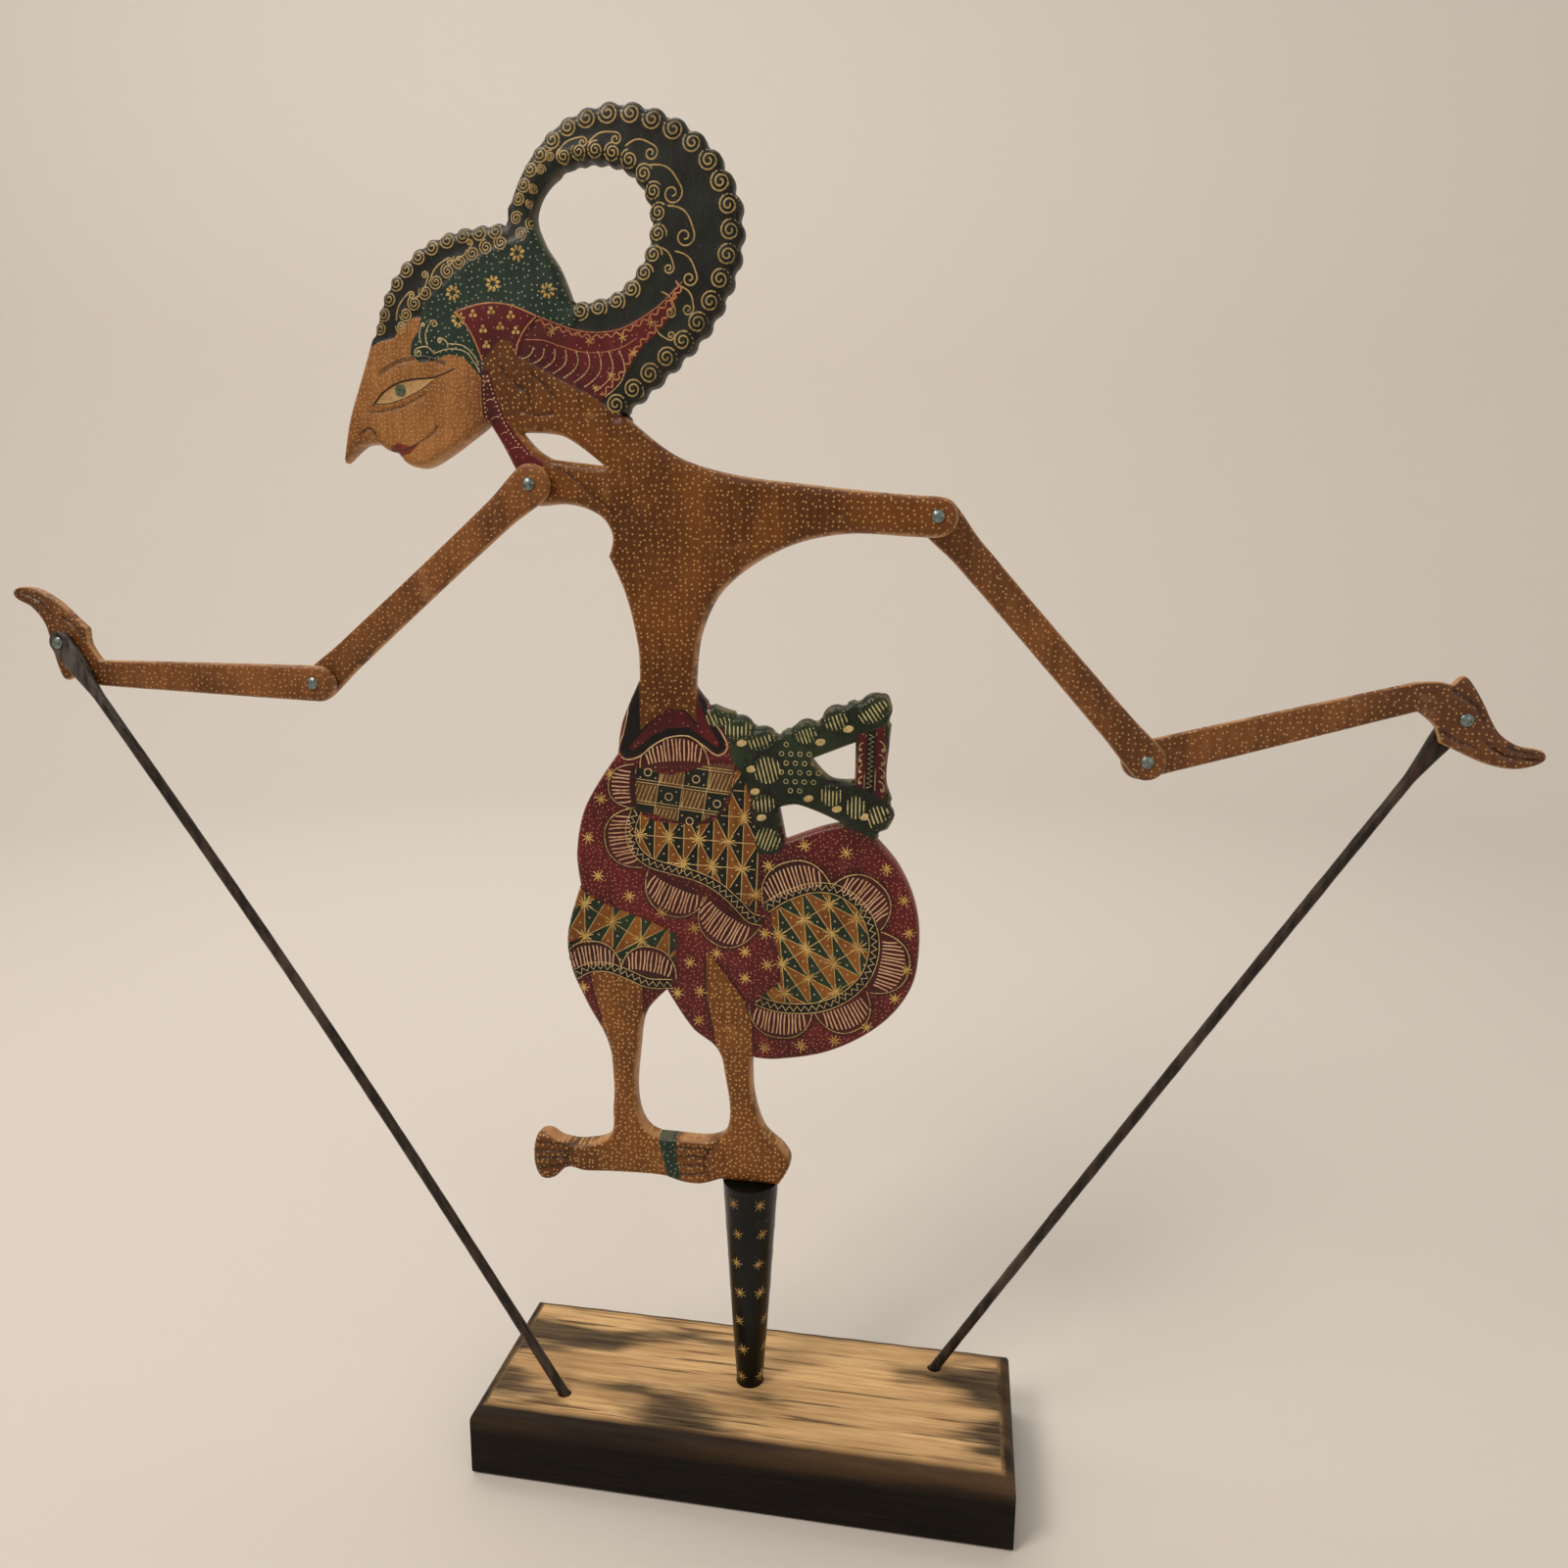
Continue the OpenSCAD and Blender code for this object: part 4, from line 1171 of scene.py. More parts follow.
waist_edge = [
    (-49.5, 246), (-53, 240), (-56, 234.5), (-56.8, 228.1), (-58.9, 218.4), (-61.5, 211), (-58.5, 207.4),
    (-52.2, 208.8), (-45.9, 213.9), (-38.4, 218), (-28.5, 219), (-21.2, 214.7), (-15.1, 210.6),
    (-11.2, 213.2), (-12, 217.3), (-18.7, 227.9), (-21.7, 236.1), (-24, 244),
]
figure.field(waist_edge, band_black, 0.35)
sash_left = [
    (-22.5, 240), (-19.9, 235), (-15.1, 228), (-9, 216.2), (-9, 209), (-2.9, 200.8), (0.7, 191.3),
    (2, 179.1), (4.5, 164.5), (14.3, 166.5), (15.5, 171), (13, 178), (42, 180), (50, 177.5), (58, 173.3),
    (80, 176), (80, 250), (0, 250),
]
figure.field(sash_left, green_sash, 0.6)
waist_maroon = [
    (-54.6, 215), (-56.6, 211.8), (-54, 211.4), (-46.5, 217.6), (-38.4, 221.8), (-28.5, 222.6),
    (-20.8, 217.6), (-15, 213.6), (-14.2, 216), (-19.5, 224.5), (-23, 233), (-24.6, 240), (-24.6, 222),
    (-29, 229), (-36.7, 231.5), (-44.5, 227), (-50.4, 219),
]
figure.field(waist_maroon, maroon_plain, 0.15)
torso_end = [
    (-51.6, 250), (-51, 220.6), (-44.5, 226.6), (-37, 231), (-29.7, 230.2), (-24.6, 224.8), (-24.8, 250),
]
figure.field(torso_end, skin, 0.1)
strip_edge = [(49, 221.5), (60.5, 225.5), (62.8, 200), (61, 192.5), (47.8, 199)]
figure.field(strip_edge, maroon_plain, 0.2)
strip_dark = [(52.8, 223), (56.8, 224), (56.3, 194.5), (52.4, 196)]
figure.field(strip_dark, band_black, 0.1, None, 3)

for centre, length, width, lie in tufts:
    turn = math.radians(lie)
    ring = []
    for k in range(18):
        a = 2 * math.pi * k / 18
        p = np.array([length / 2 * math.cos(a), width / 2 * math.sin(a)])
        ring.append((centre[0] + p[0] * math.cos(turn) - p[1] * math.sin(turn),
                     centre[1] + p[0] * math.sin(turn) + p[1] * math.cos(turn)))
    figure.field(ring, green_sash, 0.05)

# The eye is a plain slit of the maker's usual kind, with a small mouth below it
eye_edge = [
    (-173, 366), (-168, 370.5), (-161, 374), (-153, 375.5), (-144, 376), (-151, 371.5), (-159, 368),
    (-166.5, 366),
]
figure.field(eye_edge, eye_white, 0.35, None, 1.2)
lip_edge = [
    (-167, 347), (-163, 348.6), (-157.5, 347), (-152.5, 348.6), (-157, 344), (-163, 342.5), (-168, 343),
]
figure.field(lip_edge, lip_red, 0.1, None, 1.2)

# Knife lines of the face, the ear and the neck, then of the toes
for line in (
    [(-170, 378.5), (-160, 383.5), (-149, 384.5), (-139, 382)],
    [(-175, 362), (-170, 362.5), (-160, 364.5), (-149, 369.5)],
    [(-181, 352.5), (-176.5, 355), (-173.5, 352.5)],
    [(-150, 350), (-146, 352.5), (-143.5, 356)],
    [(-112, 380), (-108, 374.5), (-102, 371)],
    [(-105, 371.5), (-100.5, 369), (-99.5, 365)],
    [(-104, 362), (-97, 359.5), (-90, 360)],
    [(-98, 377), (-92, 372), (-88, 367)],
    [(-92, 339), (-82, 334), (-72, 326), (-62, 318)],
):
    figure.cut(line, 0.35, 0.55)
for line in (
    [(-86.2, 14.5), (-91.3, 8.4), (-92.1, 0.3)],
    [(-109, 12.2), (-98, 11.2), (-91, 10.8)],
    [(-110, 7.6), (-99, 7.6), (-92.6, 7.4)],
    [(-110.5, 2.6), (-99, 3.8), (-93, 4.2)],
    [(-109.5, -3), (-100, -0.6), (-93.4, 1)],
    [(-15.5, 20.5), (-20.3, 14.2), (-21.9, 8.5), (-20.3, 2)],
    [(-35.4, 15.4), (-28, 16.4), (-20.6, 15.8)],
    [(-35, 10.8), (-28, 11.6), (-22.4, 11.6)],
    [(-34.8, 6.2), (-28, 6.8), (-22.8, 7)],
    [(-34.6, 1.6), (-28, 2.2), (-22, 3)],
):
    figure.cut(line, 1.0, 0.75)
figure_board = figure.saw("figure_board", skin)
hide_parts("figure_panel")
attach(figure_board, "figure")

# ---- Painted headdress ----
# Brushed gold curls stand for locks of hair along both edges of the band and of the great loop.
# The cap has gold flowers, the ear ornament small rosettes, the wing behind it waves and stars.
curls = Brush(figure.lay)
bright = Brush(figure.lay)


def paint_figure(brush, name, finish):
    """Leaves a brush's paint on both faces of the figure."""
    brush.lay_down(name, finish, "figure", "carved_figure", 0.0)


def curl(brush, centre, radius, turns, start, width):
    """A spiral drawn from its rim to its middle."""
    points = []
    steps = int(turns * 15)
    for k in range(steps + 1):
        t = k / steps
        a = start + 2 * math.pi * turns * t
        reach = radius * (1 - 0.86 * t)
        points.append((centre[0] + reach * math.cos(a), centre[1] + reach * math.sin(a)))
    brush.stroke(points, width)


for rounds, line_w in ((outer_curls, 0.95), (inner_curls, 0.85), (front_curls, 0.8), (band_curls, 0.75)):
    for k, (place, radius, way) in enumerate(rounds):
        begin = math.atan2(way[1], way[0]) + 1.8 + 0.5 * math.sin(k * 2.1)
        curl(curls, place, radius * 0.9, 2.1, begin, line_w)
# Smaller curls fill the foot of the loop, where it is too narrow for two full rows
for place, radius in (
    ((-101.5, 434.6), 3.0), ((-96.6, 438.5), 3.2), ((-103.3, 441), 2.9), ((-96.9, 446.4), 1.9),
    ((-95.4, 452.5), 2.0), ((-91.5, 459.6), 2.2), ((-87.2, 464.8), 2.3),
):
    curl(curls, place, radius, 2.1, 0.3 * place[1], 0.75)


def scroll(brush, start, end, curl_r, bend, width):
    """A lock of hair: a bowed line that ends in a curl."""
    start, end = np.array(start, float), np.array(end, float)
    run = end - start
    side = np.array([-run[1], run[0]]) / np.linalg.norm(run)
    hand = 1 if bend > 0 else -1
    points = []
    for k in range(9):
        t = k / 8
        points.append(start + run * t + side * bend * math.sin(math.pi * t) * (1 - 0.35 * t))
    tail = points[-1] - points[-2]
    tail /= np.linalg.norm(tail)
    centre = end + hand * np.array([tail[1], -tail[0]]) * curl_r
    begin = math.atan2(end[1] - centre[1], end[0] - centre[0])
    for k in range(1, 22):
        t = k / 21
        a = begin - hand * 2 * math.pi * 1.35 * t
        reach = curl_r * (1 - 0.8 * t)
        points.append(centre + reach * np.array([math.cos(a), math.sin(a)]))
    brush.stroke(points, width)


for start, end, curl_r, bend in (
    ((-84, 465), (-73, 471.5), 2.2, 2.5), ((-70, 469), (-58, 472.5), 2.6, 2.5),
    ((-54, 467), (-41.5, 466.5), 3.2, 3), ((-44, 459), (-30, 450), 4.6, 4),
    ((-36, 443), (-24.5, 432), 4.4, 4), ((-33, 425), (-23.5, 415), 3.4, 3),
    ((-41, 427), (-33.5, 419), 2.4, 2.5), ((-39, 409), (-33, 401), 2.2, 2.0),
    ((-31, 411), (-25, 402), 2.6, 2.5), ((-42, 397), (-36, 389.5), 2.0, -2.0),
    ((-161, 401), (-154.5, 412.5), 1.7, 2.0), ((-152.5, 409.5), (-145, 419), 1.7, -2.0),
    ((-144, 417), (-135.5, 426), 1.7, 2.0), ((-134, 424.5), (-124, 431), 1.5, -1.5),
):
    scroll(curls, start, end, curl_r, bend, 0.85)
paint_figure(curls, "hair_curls", paint_finish("curl_gold", tint(178, 152, 96), tint(126, 104, 60)))

for centre in ((-103.1, 426.8), (-114.8, 414.9), (-89.7, 411.1), (-133.5, 411.5), (-131.5, 400.5)):
    for k in range(8):
        a = math.pi * k / 4 + 0.2
        middle = (centre[0] + 2.3 * math.cos(a), centre[1] + 2.3 * math.sin(a))
        petal = []
        for j in range(8):
            b = 2 * math.pi * j / 8
            out, aside = 1.35 * math.cos(b), 0.72 * math.sin(b)
            petal.append((middle[0] + out * math.cos(a) - aside * math.sin(a),
                          middle[1] + out * math.sin(a) + aside * math.cos(a)))
        bright.dab(middle, petal, 0.2)
for centre in ((-124.5, 402.5), (-116, 403.5), (-107, 401.5), (-120, 396), (-112, 397), (-105, 395),
               (-118.8, 389.5)):
    for k in range(3):
        a = math.radians(90 + 120 * k)
        bright.spot((centre[0] + 1.15 * math.cos(a), centre[1] + 1.15 * math.sin(a)), 1.0, 0.16)
for centre, size in (((-88.5, 394.5), 2.6), ((-71.5, 390), 2.4), ((-56.5, 391), 2.4), ((-44, 396.5), 2.4),
                     ((-52, 384.5), 2.4), ((-62, 375.5), 2.2), ((-69, 370.5), 1.9)):
    bright.star(centre, size, 6, 0.8, 0.3)


def wave(line, height, pitch):
    """A zigzag along a line."""
    points = []
    for k, (place, way) in enumerate(along_line(line, pitch / 2, 0.2)):
        points.append(place + np.array([-way[1], way[0]]) * height / 2 * (1 if k % 2 else -1))
    return points


wing_top = drawn_line([
    (-95, 401.3), (-87.9, 398.5), (-78.8, 395.3), (-68.5, 393.8), (-58.1, 394.7), (-49.1, 398.5),
    (-40.1, 404), (-33.7, 409.6), (-30.2, 412.8),
])
wing_back = drawn_line([
    (-30.2, 412.8), (-32.2, 404.9), (-35.7, 398.1), (-41.5, 391.9), (-46.7, 388), (-51.2, 382.2),
    (-54.6, 377), (-61.2, 370), (-66, 365.5),
])
copper = Brush(figure.lay)
copper.stroke(offset_line(wing_top, -0.4), 0.5)
copper.stroke(drawn_line(wave(offset_line(wing_top, -2.0), 1.5, 4.4), 0.6), 0.8)
copper.stroke(drawn_line(wave(offset_line(wing_back, -1.7), 1.7, 4.2), 0.6), 0.9)
for line in (
    [(-133.3, 403.6), (-123.4, 406.2), (-115.3, 406.9), (-106.1, 405.4), (-95.5, 401)],
    [(-132.8, 403.2), (-127.2, 397), (-123.6, 390), (-121, 383)],
    [(-95.5, 400.8), (-100.4, 396.2), (-103.9, 390.6), (-105.4, 385)],
):
    copper.stroke(drawn_line(line), 0.8)
wing_fold = [
    (-101, 391.4), (-92.1, 390.7), (-84.3, 388), (-75.1, 385.6), (-66, 385.2), (-56.9, 387), (-50, 390.6),
]
copper.stroke(drawn_line(wing_fold), 0.45)
paint_figure(copper, "wing_edging", paint_finish("copper_paint", tint(190, 132, 84), tint(148, 92, 54)))

pale = Brush(figure.lay)
for k in range(9):
    t = k / 8
    top = (-97 + 38 * t, 388.8 - 4.5 * t + 3.0 * t * t)
    low = (-103 + 36.5 * t, 383.2 - 17.6 * t)
    bow = [(top[0] + (low[0] - top[0]) * s + 5.2 * math.sin(math.pi * s) * (0.25 + t),
            top[1] + (low[1] - top[1]) * s - 1.0 * math.sin(math.pi * s))
           for s in np.linspace(0.06, 0.94, 18)]
    pale.stroke(bow, 0.42)
    for place, _ in along_line(bow, 1.7, 0.8):
        pale.spot(place, 0.42, 0.14, 6)
strap_left = drawn_line([(-121, 377), (-120.9, 364.5), (-119.4, 355), (-114.8, 346.5), (-109, 338)])
strap_right = drawn_line([(-118.6, 377), (-116.2, 368.8), (-112.7, 359.2), (-107.4, 350.2), (-100, 342)])
for line, aside in ((strap_left, 0.3), (strap_right, -0.3)):
    for place, _ in along_line(offset_line(line, aside), 1.9, 0.6):
        pale.spot(place, 0.5, 0.14, 6)
for k in range(5):
    t = 0.12 + 0.19 * k
    a = strap_left[int(t * (len(strap_left) - 1))]
    b = strap_right[int(t * (len(strap_right) - 1))]
    sagging = [a + (b - a) * s + np.array([0, 1.6 * math.sin(math.pi * s)]) for s in (0.2, 0.4, 0.6, 0.8)]
    pale.stroke(sagging, 0.45)
for start, end, curl_r, bend in (
    ((-144, 387), (-151.5, 389), 2.0, -2), ((-146.5, 390), (-144.5, 400), 1.7, 2.0),
    ((-149.5, 391), (-149, 399), 0.9, 1.0), ((-137, 389), (-140, 393), 1.2, -1.2),
):
    scroll(pale, start, end, curl_r, bend, 0.6)
pale.stroke(drawn_line([(-144, 386.5), (-136.5, 388.3), (-129, 387), (-124.5, 382), (-122.4, 378)]), 0.5)
pale.stroke(drawn_line([(-137, 390.5), (-130, 389.6), (-125, 385.5), (-122.8, 381)]), 0.5)
paint_figure(pale, "headdress_lines", cream)

# ---- Painted face ----
# The face is the maker's own plain design: a slit eye under a long lid, one carved brow line,
# a small mouth and a nostril curl, all drawn with a fine brush.
ink = Brush(figure.lay)
for line, gap, width, rise in (
    ([(-174.5, 364.8), (-168.4, 371), (-161, 374.6), (-153, 376), (-144, 376.6), (-134, 380)],
     0.8, 0.95, 0.12),
    ([(-173.5, 365.5), (-166.5, 365.7), (-159, 367.7), (-151, 371.2), (-145, 375)], 0.8, 0.5, 0.1),
    ([(-170.5, 379.5), (-160, 384.6), (-149, 385.6), (-138, 382.6)], 0.8, 0.55, 0.1),
    ([(-168.5, 345.6), (-162.5, 345.2), (-157, 346.4), (-150.5, 350)], 0.8, 0.55, 0.14),
    ([(-181, 353), (-177, 355.4), (-174, 352.6)], 0.6, 0.5, 0.1),
):
    ink.stroke(drawn_line(line, gap), width, rise)
paint_figure(ink, "face_lines", dark_line)
iris = Brush(figure.lay)
iris.spot((-160.6, 371.2), 2.9, 0.35, 16)
paint_figure(iris, "eye_iris", eye_grey)
pupil = Brush(figure.lay)
pupil.spot((-160.8, 371.5), 1.2, 0.5, 12)
paint_figure(pupil, "eye_pupil", band_black)

# ---- Painted cloth ----
# The hip cloth is maroon with brushed gold stars; hatched lobes and black zigzag bands edge it.
# Two nets of gold lines and stars and a small check fill the middle fields.
over_lobes = (np.array(waist_edge, float), np.array(sash_left, float))


def below_sash(x, z, rise):
    """A place on the face, unless the waistband or the sash covers it."""
    if any(inside(np.array([[x, z]]), edge)[0] for edge in over_lobes):
        return None
    return figure.lay(x, z, rise)


hatch = Brush(below_sash)
for a, b, rise in lobes:
    length = np.linalg.norm(np.array(b, float) - np.array(a, float))
    count = int(length / 1.95)
    middle = (np.array(a, float) + np.array(b, float)) / 2
    for k in range(1, count):
        s = k / count
        top = bulge(a, b, rise * 0.86, 0.5 + (s - 0.5) * 0.94)
        low = np.array(a) + (np.array(b) - np.array(a)) * (0.5 + (s - 0.5) * 0.8)
        low = low + (top - low) * 0.2
        bend = np.array([0.35, -0.35]) * math.sin(k * 1.7)
        bowed = [low + (top - low) * t + bend * math.sin(math.pi * t) for t in np.linspace(0, 1, 6)]
        hatch.stroke(bowed, 0.85)
hatch.lay_down("lobe_hatching", pink_gold, "figure", "carved_figure", 0.0)

fine = Brush(below_sash)
for a, b, rise in lobes:
    fine.stroke([bulge(a, b, rise, (1 - math.cos(math.pi * k / 30)) / 2) for k in range(31)], 0.55)
for name, line in band_lines.items():
    fine.stroke(offset_line(line, 2.3), 0.5)
    fine.stroke(offset_line(line, -2.3), 0.5)
nets = (middle_net, disc_net, thigh_net)
for _, lines, _, own_fields in nets:
    for a, b in lines:
        points = np.array([a + (b - a) * t for t in np.linspace(0, 1, 10)])
        shown = figure.field_at(points)
        held = (shown >= own_fields.start) & (shown < own_fields.stop)
        fine.stroke(points[held], 0.5)
for row in range(4):
    for extra in (0.0, 1.3):
        a = tile_start + row * tile_v + np.array([0, extra])
        points = np.array([a + tile_u * t for t in np.linspace(0, 5, 60)])
        fine.stroke(points[inside(points, checker_clip)], 0.45)
for column in range(6):
    a = tile_start + column * tile_u
    points = np.array([a + tile_v * t for t in np.linspace(0, 3.4, 24)])
    held = points[inside(points, checker_clip)]
    if len(held) > 2:
        fine.stroke(held, 0.45)
for tile, dark in tiles:
    middle = tile.mean(0)
    if dark:
        continue
    for k in range(6):
        s = (k + 0.5) / 6
        a = tile[3] + (tile[2] - tile[3]) * s
        b = tile[0] + (tile[1] - tile[0]) * max(0.05, s - 0.2)
        points = np.array([a + (b - a) * t for t in np.linspace(0.1, 0.9, 9)])
        fine.stroke(points[inside(points, checker_clip)], 0.5)
paint_figure(fine, "cloth_lines", paint_finish("line_gold", tint(204, 178, 118), tint(156, 126, 70)))

for knots, _, _, own_fields in nets:
    shown = figure.field_at(np.array(knots))
    for k, knot in enumerate(knots):
        if own_fields.start <= shown[k] < own_fields.stop:
            bright.star(knot, 4.2, 10, 0.85, 0.2 + k)
for place in (
    (-70.9, 187.8), (-77.4, 168.7), (-73, 150.5), (-57.9, 141.5), (-42.1, 134.3), (-26.4, 127.6),
    (-15.8, 116), (-2, 117.6), (-28.6, 110.7), (8.5, 112), (-2, 104.7), (-23.8, 96.7), (-34.8, 95),
    (-24.3, 82.2), (-81.5, 94.5), (8.8, 159.5), (25.4, 170), (44.6, 167.3), (63, 160.6), (71.2, 146.6),
    (74, 131.2), (73.2, 113.7), (68.3, 99.4), (55.9, 84.5), (40.5, 76.8), (25, 73.2), (7.5, 70.8),
    (7.4, 127.1), (66, 172), (-66.5, 199.5),
):
    bright.star(place, 3.3, 8, 0.95, place[0])
paint_figure(bright, "gold_stars", gold)

points_cream = Brush(figure.lay)
for line in band_lines.values():
    points_cream.stroke(wave(line, 2.5, 3.6), 0.72, 0.14)
for _, _, middles, own_fields in nets:
    shown = figure.field_at(np.array(middles))
    for middle, field in zip(middles, shown):
        if own_fields.start <= field < own_fields.stop:
            points_cream.spot(middle, 0.55, 0.12, 6)
for tile, dark in tiles:
    middle = tile.mean(0)
    if dark and inside(middle[None], checker_clip)[0]:
        ring = [(middle[0] + 1.7 * math.cos(a), middle[1] + 1.7 * math.sin(a))
                for a in np.linspace(0, 2 * math.pi, 15)]
        points_cream.stroke(ring, 0.6)
        for dx, dz in ((-3.6, 2.6), (3.6, 2.4), (-3.6, -2.4), (3.6, -2.6)):
            points_cream.spot((middle[0] + dx, middle[1] + dz), 0.5, 0.12, 6)
points_cream.stroke(offset_line(drawn_line(waist_edge[1:-1]), -0.6), 0.7, 0.15)
paint_figure(points_cream, "cloth_dots", cream)

# ---- Painted sash ----
# The green sash is tied at the back: its tufts are hatched in pale gold, with cream seeds between
# them, rings on the knot, and a red end strip with a zigzag.
sash_lines = Brush(figure.lay)
for centre, length, width, lie in tufts:
    turn = math.radians(lie)
    count = max(5, int(length / 1.65))
    for k in range(count):
        u = length * ((k + 0.5) / count - 0.5)
        half = width / 2 * math.sqrt(max(0.05, 1 - (2 * u / length) ** 2)) * 0.86
        a = (centre[0] + u * math.cos(turn) + half * math.sin(turn),
             centre[1] + u * math.sin(turn) - half * math.cos(turn))
        b = (centre[0] + u * math.cos(turn) - half * math.sin(turn),
             centre[1] + u * math.sin(turn) + half * math.cos(turn))
        run = np.array(b) - np.array(a)
        sash_lines.stroke([np.array(a) + run * t for t in (0, 0.33, 0.66, 1)], 0.85)
knot = np.array([(13, 196), (13, 219), (25.8, 217), (34, 200), (22, 192)])
for k in range(26):
    x = 14.5 + 4.2 * (k % 5) + 2.1 * ((k // 5) % 2)
    z = 195 + 4.2 * (k // 5)
    if inside(np.array([[x, z]]), knot)[0]:
        sash_lines.stroke([(x + 1.0 * math.cos(a), z + 1.0 * math.sin(a))
                           for a in np.linspace(0, 2 * math.pi, 11)], 0.45)
sash_lines.stroke(wave([(54.9, 222), (54.6, 209), (54.3, 197)], 2.4, 2.2), 0.5)
sash_lines.stroke([(52.4, 221.5), (52, 197.5)], 0.4)
sash_lines.stroke([(57.2, 222.5), (56.8, 196.5)], 0.4)
for k in range(4):
    scroll(sash_lines, (58.4, 219 - 6 * k), (61, 215 - 6 * k), 0.9, 0.9, 0.42)
    scroll(sash_lines, (51.2, 218 - 5 * k), (49.4, 215 - 5 * k), 0.7, -0.7, 0.42)
sash_gold = paint_finish("sash_gold", tint(204, 190, 136), tint(156, 146, 96))
paint_figure(sash_lines, "sash_hatching", sash_gold)
seeds = Brush(figure.lay)
for centre in ((-3.8, 216), (0.7, 204.3), (2.3, 194), (5.4, 182), (32, 217.5), (44.5, 223.8), (27, 191.7),
               (40, 187.4), (52.5, 184.3)):
    ring = [(centre[0] + 2.4 * math.cos(a) + 0.5 * math.sin(a), centre[1] + 1.7 * math.sin(a))
            for a in np.linspace(0, 2 * math.pi, 13)[:-1]]
    seeds.dab(centre, ring, 0.45)
paint_figure(seeds, "sash_seeds", paint_finish("seed_paint", tint(206, 184, 128), tint(160, 136, 84)))

# ---- Upper arms ----
# Two thin laths of the same wood, rounded at both ends and riveted on at the shoulders.
# They are painted like the skin. The left one hangs before the plank, the right one behind it.
arm_half, arm_round = 2.5, 1.9
upper_near, fore_near = 6.4, 11.8
shoulder_pins = {"left": (-99, 476), "right": (81, 462)}
elbow_pins = {"left": (-206.25, 386.01), "right": (174.68, 357.96)}
shoulder_end_r, elbow_end_r, lath_half = 9.2, 8.4, 7.4
arm_skin = dotted("arm_paint", tint(132, 82, 40), tint(88, 52, 24), tint(194, 150, 96), 2.7, 0.42,
                  bare=worn, coat=0.2)


def lath_outline(start, end):
    """Outline of a lath with two round ends and a slightly slimmer middle."""
    start, end = np.array(start, float), np.array(end, float)
    way = (end - start) / np.linalg.norm(end - start)
    angle = math.atan2(way[1], way[0])
    edge = np.array([-way[1], way[0]])
    points = []
    for k in range(7):
        a = angle + math.radians(95 + 170 * k / 6)
        points.append(start + shoulder_end_r * np.array([math.cos(a), math.sin(a)]))
    points.append(start + way * 20 - edge * lath_half)
    points.append(end - way * 20 - edge * lath_half)
    for k in range(7):
        a = angle + math.radians(-85 + 170 * k / 6)
        points.append(end + elbow_end_r * np.array([math.cos(a), math.sin(a)]))
    points.append(end - way * 20 + edge * lath_half)
    points.append(start + way * 20 + edge * lath_half)
    return flowing([list(p) for p in points], 1.3)


for side, sign in (("left", -1), ("right", 1)):
    lath = Plank([lath_outline(shoulder_pins[side], elbow_pins[side])], arm_half, arm_round,
                 sign * (upper_near + arm_half))
    piece = lath.saw("upper_arm_lath_" + side, arm_skin)
    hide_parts("upper_arm_" + side)
    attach(piece, side + "_upper_arm")

# ---- Forearms and hands ----
# Each forearm and its long-fingered hand are cut from one lath, with knife lines between the
# fingers and under the thumb. The right hand curls down and the left one up.
forearm_len = 130
hand = [
    [-18, -18.5, 0], [-9, -17.5], [-4, -15.5, 0], [0.5, -18.5], [4, -14.5], [8.5, -3.5, 0],
    [12.5, 7], [19, 13.5], [30, 19.5], [21, 23.8], [8, 20.5], [-6, 11.5], [-10.5, 8.5, 0],
    [-12, 1], [-18, -6, 0],
]
forearm_rise = {"left": 7.5, "right": 9.5}


def on_arm(q, pin, sign, rise_deg):
    """A drawn point of the forearm, along the arm and towards the palm, set on its elbow pin."""
    a = math.radians(rise_deg)
    return (pin[0] + sign * q[0] * math.cos(a) + q[1] * math.sin(a),
            pin[1] + q[0] * math.sin(a) - sign * q[1] * math.cos(a))


for side, sign in (("left", -1), ("right", 1)):
    pin, rise = elbow_pins[side], forearm_rise[side]
    drawn = []
    for k in range(9):
        a = math.radians(85 + 180 * k / 8)
        drawn.append([-2 + elbow_end_r * math.cos(a), elbow_end_r * math.sin(a)])
    drawn += [[q[0] + forearm_len] + list(q[1:]) for q in hand]
    outline = [list(on_arm(q, pin, sign, rise)) + list(q[2:]) for q in drawn]
    lath = Plank([flowing(outline, 1.1)], arm_half, arm_round, sign * (fore_near + arm_half))
    for line in (
        [(-4, -13), (1, -8.5), (5, -4), (6.6, 1.5)],
        [(7.5, 11), (12, 15.6), (18.5, 19), (26.5, 20.8)],
        [(15, 13.6), (20, 16.6), (27, 18.8)],
        [(-9, 4), (-4, 8.5), (2, 11.5)],
    ):
        lath.cut([on_arm((p[0] + forearm_len, p[1]), pin, sign, rise) for p in line], 0.9, 0.6, 0.6)
    piece = lath.saw("forearm_hand_" + side, arm_skin, 2.0)
    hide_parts("forearm_" + side)
    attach(piece, side + "_forearm")

# ---- Rods ----
# Two thin control rods of dark hard wood, shaved round and flattened at the top for the wrist pin.
# The left one has taken a slight bow with use.
rod_r, rod_flat_r, rod_flat_half = 2.4, 5.2, 2.0
neck_len = 34
rod_finish, tree, shader = finish_for("rod_wood", 0.48, 0.1)
across, deep, up, spot = place_of(tree)
fibre = figured(tree, spot, 260, 500, 60, 4, 0.6)
rubbed = figured(tree, spot, 40, 40, 14, 3, 0.55)
rod_tone = over(tree, ramp(tree, fibre, 0.38, 0.66), tint(24, 18, 17), tint(60, 45, 37))
rod_tone = over(tree, ramp(tree, rubbed, 0.5, 0.72, 0.0, 0.6), rod_tone, tint(92, 76, 64))
greyed = reckon(tree, "MULTIPLY", ramp(tree, up, 0.34, 0.39), ramp(tree, fibre, 0.3, 0.6))
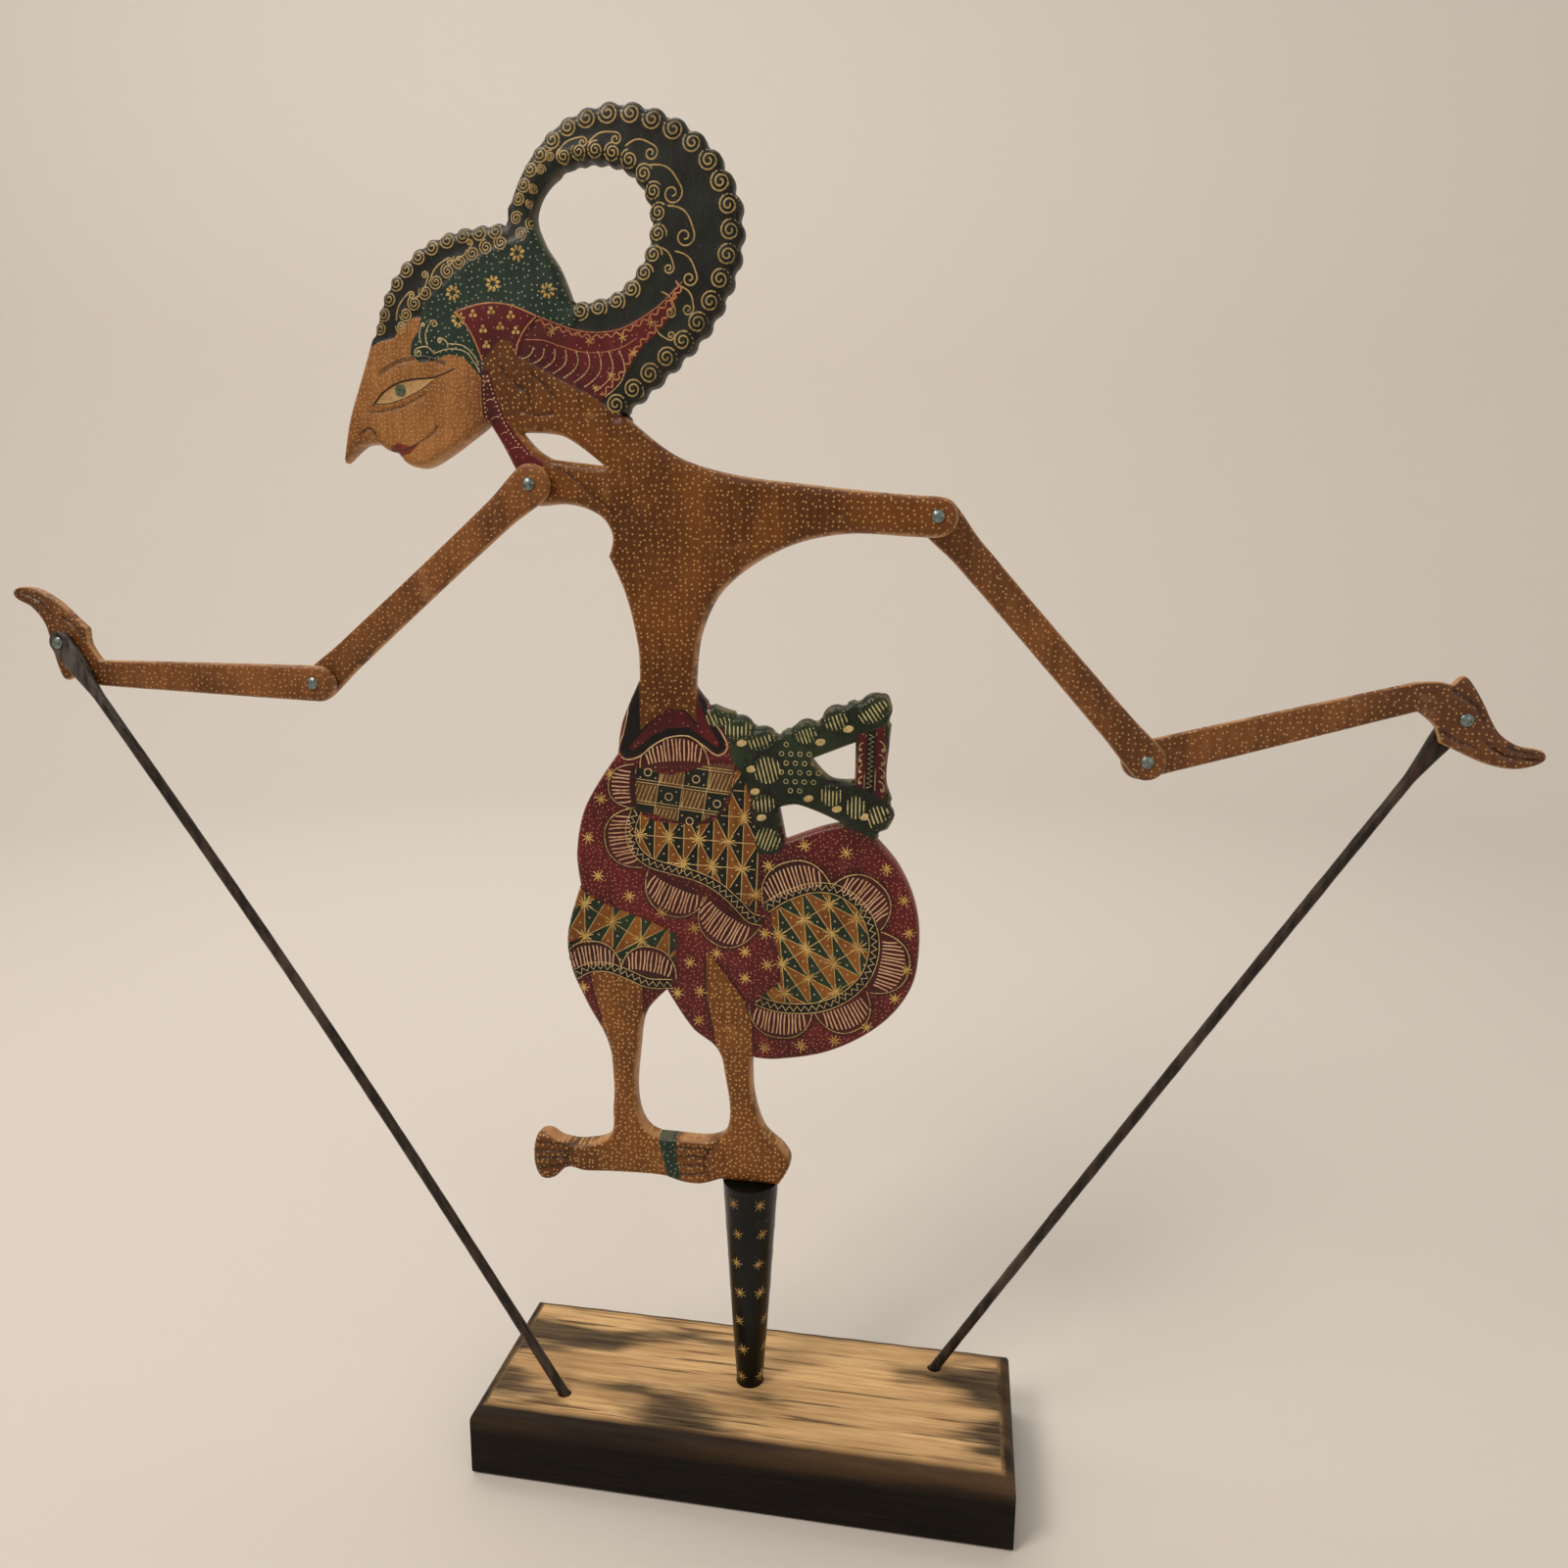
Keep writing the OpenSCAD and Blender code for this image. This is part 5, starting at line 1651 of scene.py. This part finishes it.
greyed = reckon(tree, "MULTIPLY", greyed, ramp(tree, across, 0.05, -0.05))
rod_tone = over(tree, reckon(tree, "MULTIPLY", greyed, 0.7), rod_tone, tint(98, 92, 88))
tree.links.new(rod_tone, shader.inputs["Base Color"])
emboss(tree, shader, fibre, 0.3, 0.6)

for side, foot, wrist, bow in (
    ("left", rod_foot_left, wrist_left, 4.0),
    ("right", rod_foot_right, wrist_right, 0.6),
):
    run = wrist - foot
    length = run.length
    way = run.normalized()
    outward = Vector((way.z, 0, -way.x)).normalized()
    if side == "right":
        outward = -outward
    face = Vector((0, 1, 0))
    start_at = -4.0
    stations = [start_at + (length + rod_flat_r - start_at) * k / 110 for k in range(111)]
    stations += [length + rod_flat_r * s for s in (0.35, 0.6, 0.8, 0.93)]
    stations.sort()
    verts, faces = [], []
    count = 16
    for row, at in enumerate(stations):
        centre = foot + way * at + outward * bow * math.sin(math.pi * max(0, at) / length)
        to_neck = max(0.0, min(1.0, (at - (length - neck_len)) / (neck_len * 0.85)))
        spread = to_neck * to_neck * (3 - 2 * to_neck)
        width = rod_r + (rod_flat_r - rod_r) * spread
        thick = rod_r + (rod_flat_half - rod_r) * spread
        if at > length:
            width = rod_flat_r * math.sqrt(max(0.0004, 1 - ((at - length) / rod_flat_r) ** 2))
        blunt = 2.0 + 4.0 * spread
        wobble = 0.06 * math.sin(at * 0.19) + 0.05 * math.sin(at * 0.47)
        edge = Vector((-way.z, 0, way.x)).normalized()
        for k in range(count):
            a = 2 * math.pi * k / count
            c, s = math.cos(a), math.sin(a)
            cx = math.copysign(abs(c) ** (2 / blunt), c)
            cy = math.copysign(abs(s) ** (2 / blunt), s)
            verts.append((centre + edge * cx * (width + wobble) + face * cy * thick) * MM)
        if row:
            for k in range(count):
                n = (k + 1) % count
                below, here = (row - 1) * count, row * count
                faces.append((below + k, below + n, here + n, here + k))
    faces.append(tuple(reversed(range(count))))
    faces.append(tuple((len(stations) - 1) * count + k for k in range(count)))
    piece = mesh_piece("control_rod_" + side, verts, faces, [rod_finish], sharp_deg=60)
    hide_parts("rod_" + side)
    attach(piece, side + "_rod")

# ---- Rivets ----
# Six small domed steel rivets, each hammered over a burr washer let into the rear of its joint.
# They are dull blue-grey, with hammer marks and patches of tarnish.
steel, tree, shader = finish_for("rivet_steel", 0.38, 0.0)
shader.inputs["Metallic"].default_value = 0.85
across, deep, up, spot = place_of(tree)
tarnish = figured(tree, spot, 700, 700, 700, 4, 0.6)
blows = figured(tree, spot, 380, 380, 380, 1, 0.4)
tree.links.new(over(tree, ramp(tree, tarnish, 0.42, 0.66), tint(134, 148, 150), tint(84, 90, 88)),
               shader.inputs["Base Color"])
emboss(tree, shader, blows, 0.25, 0.5)
for kind in ("rivet", "burr"):
    for joint in ("shoulder", "elbow", "wrist"):
        for side in ("left", "right"):
            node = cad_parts["_".join((kind, joint, side))]
            node.data.materials.clear()
            node.data.materials.append(steel)
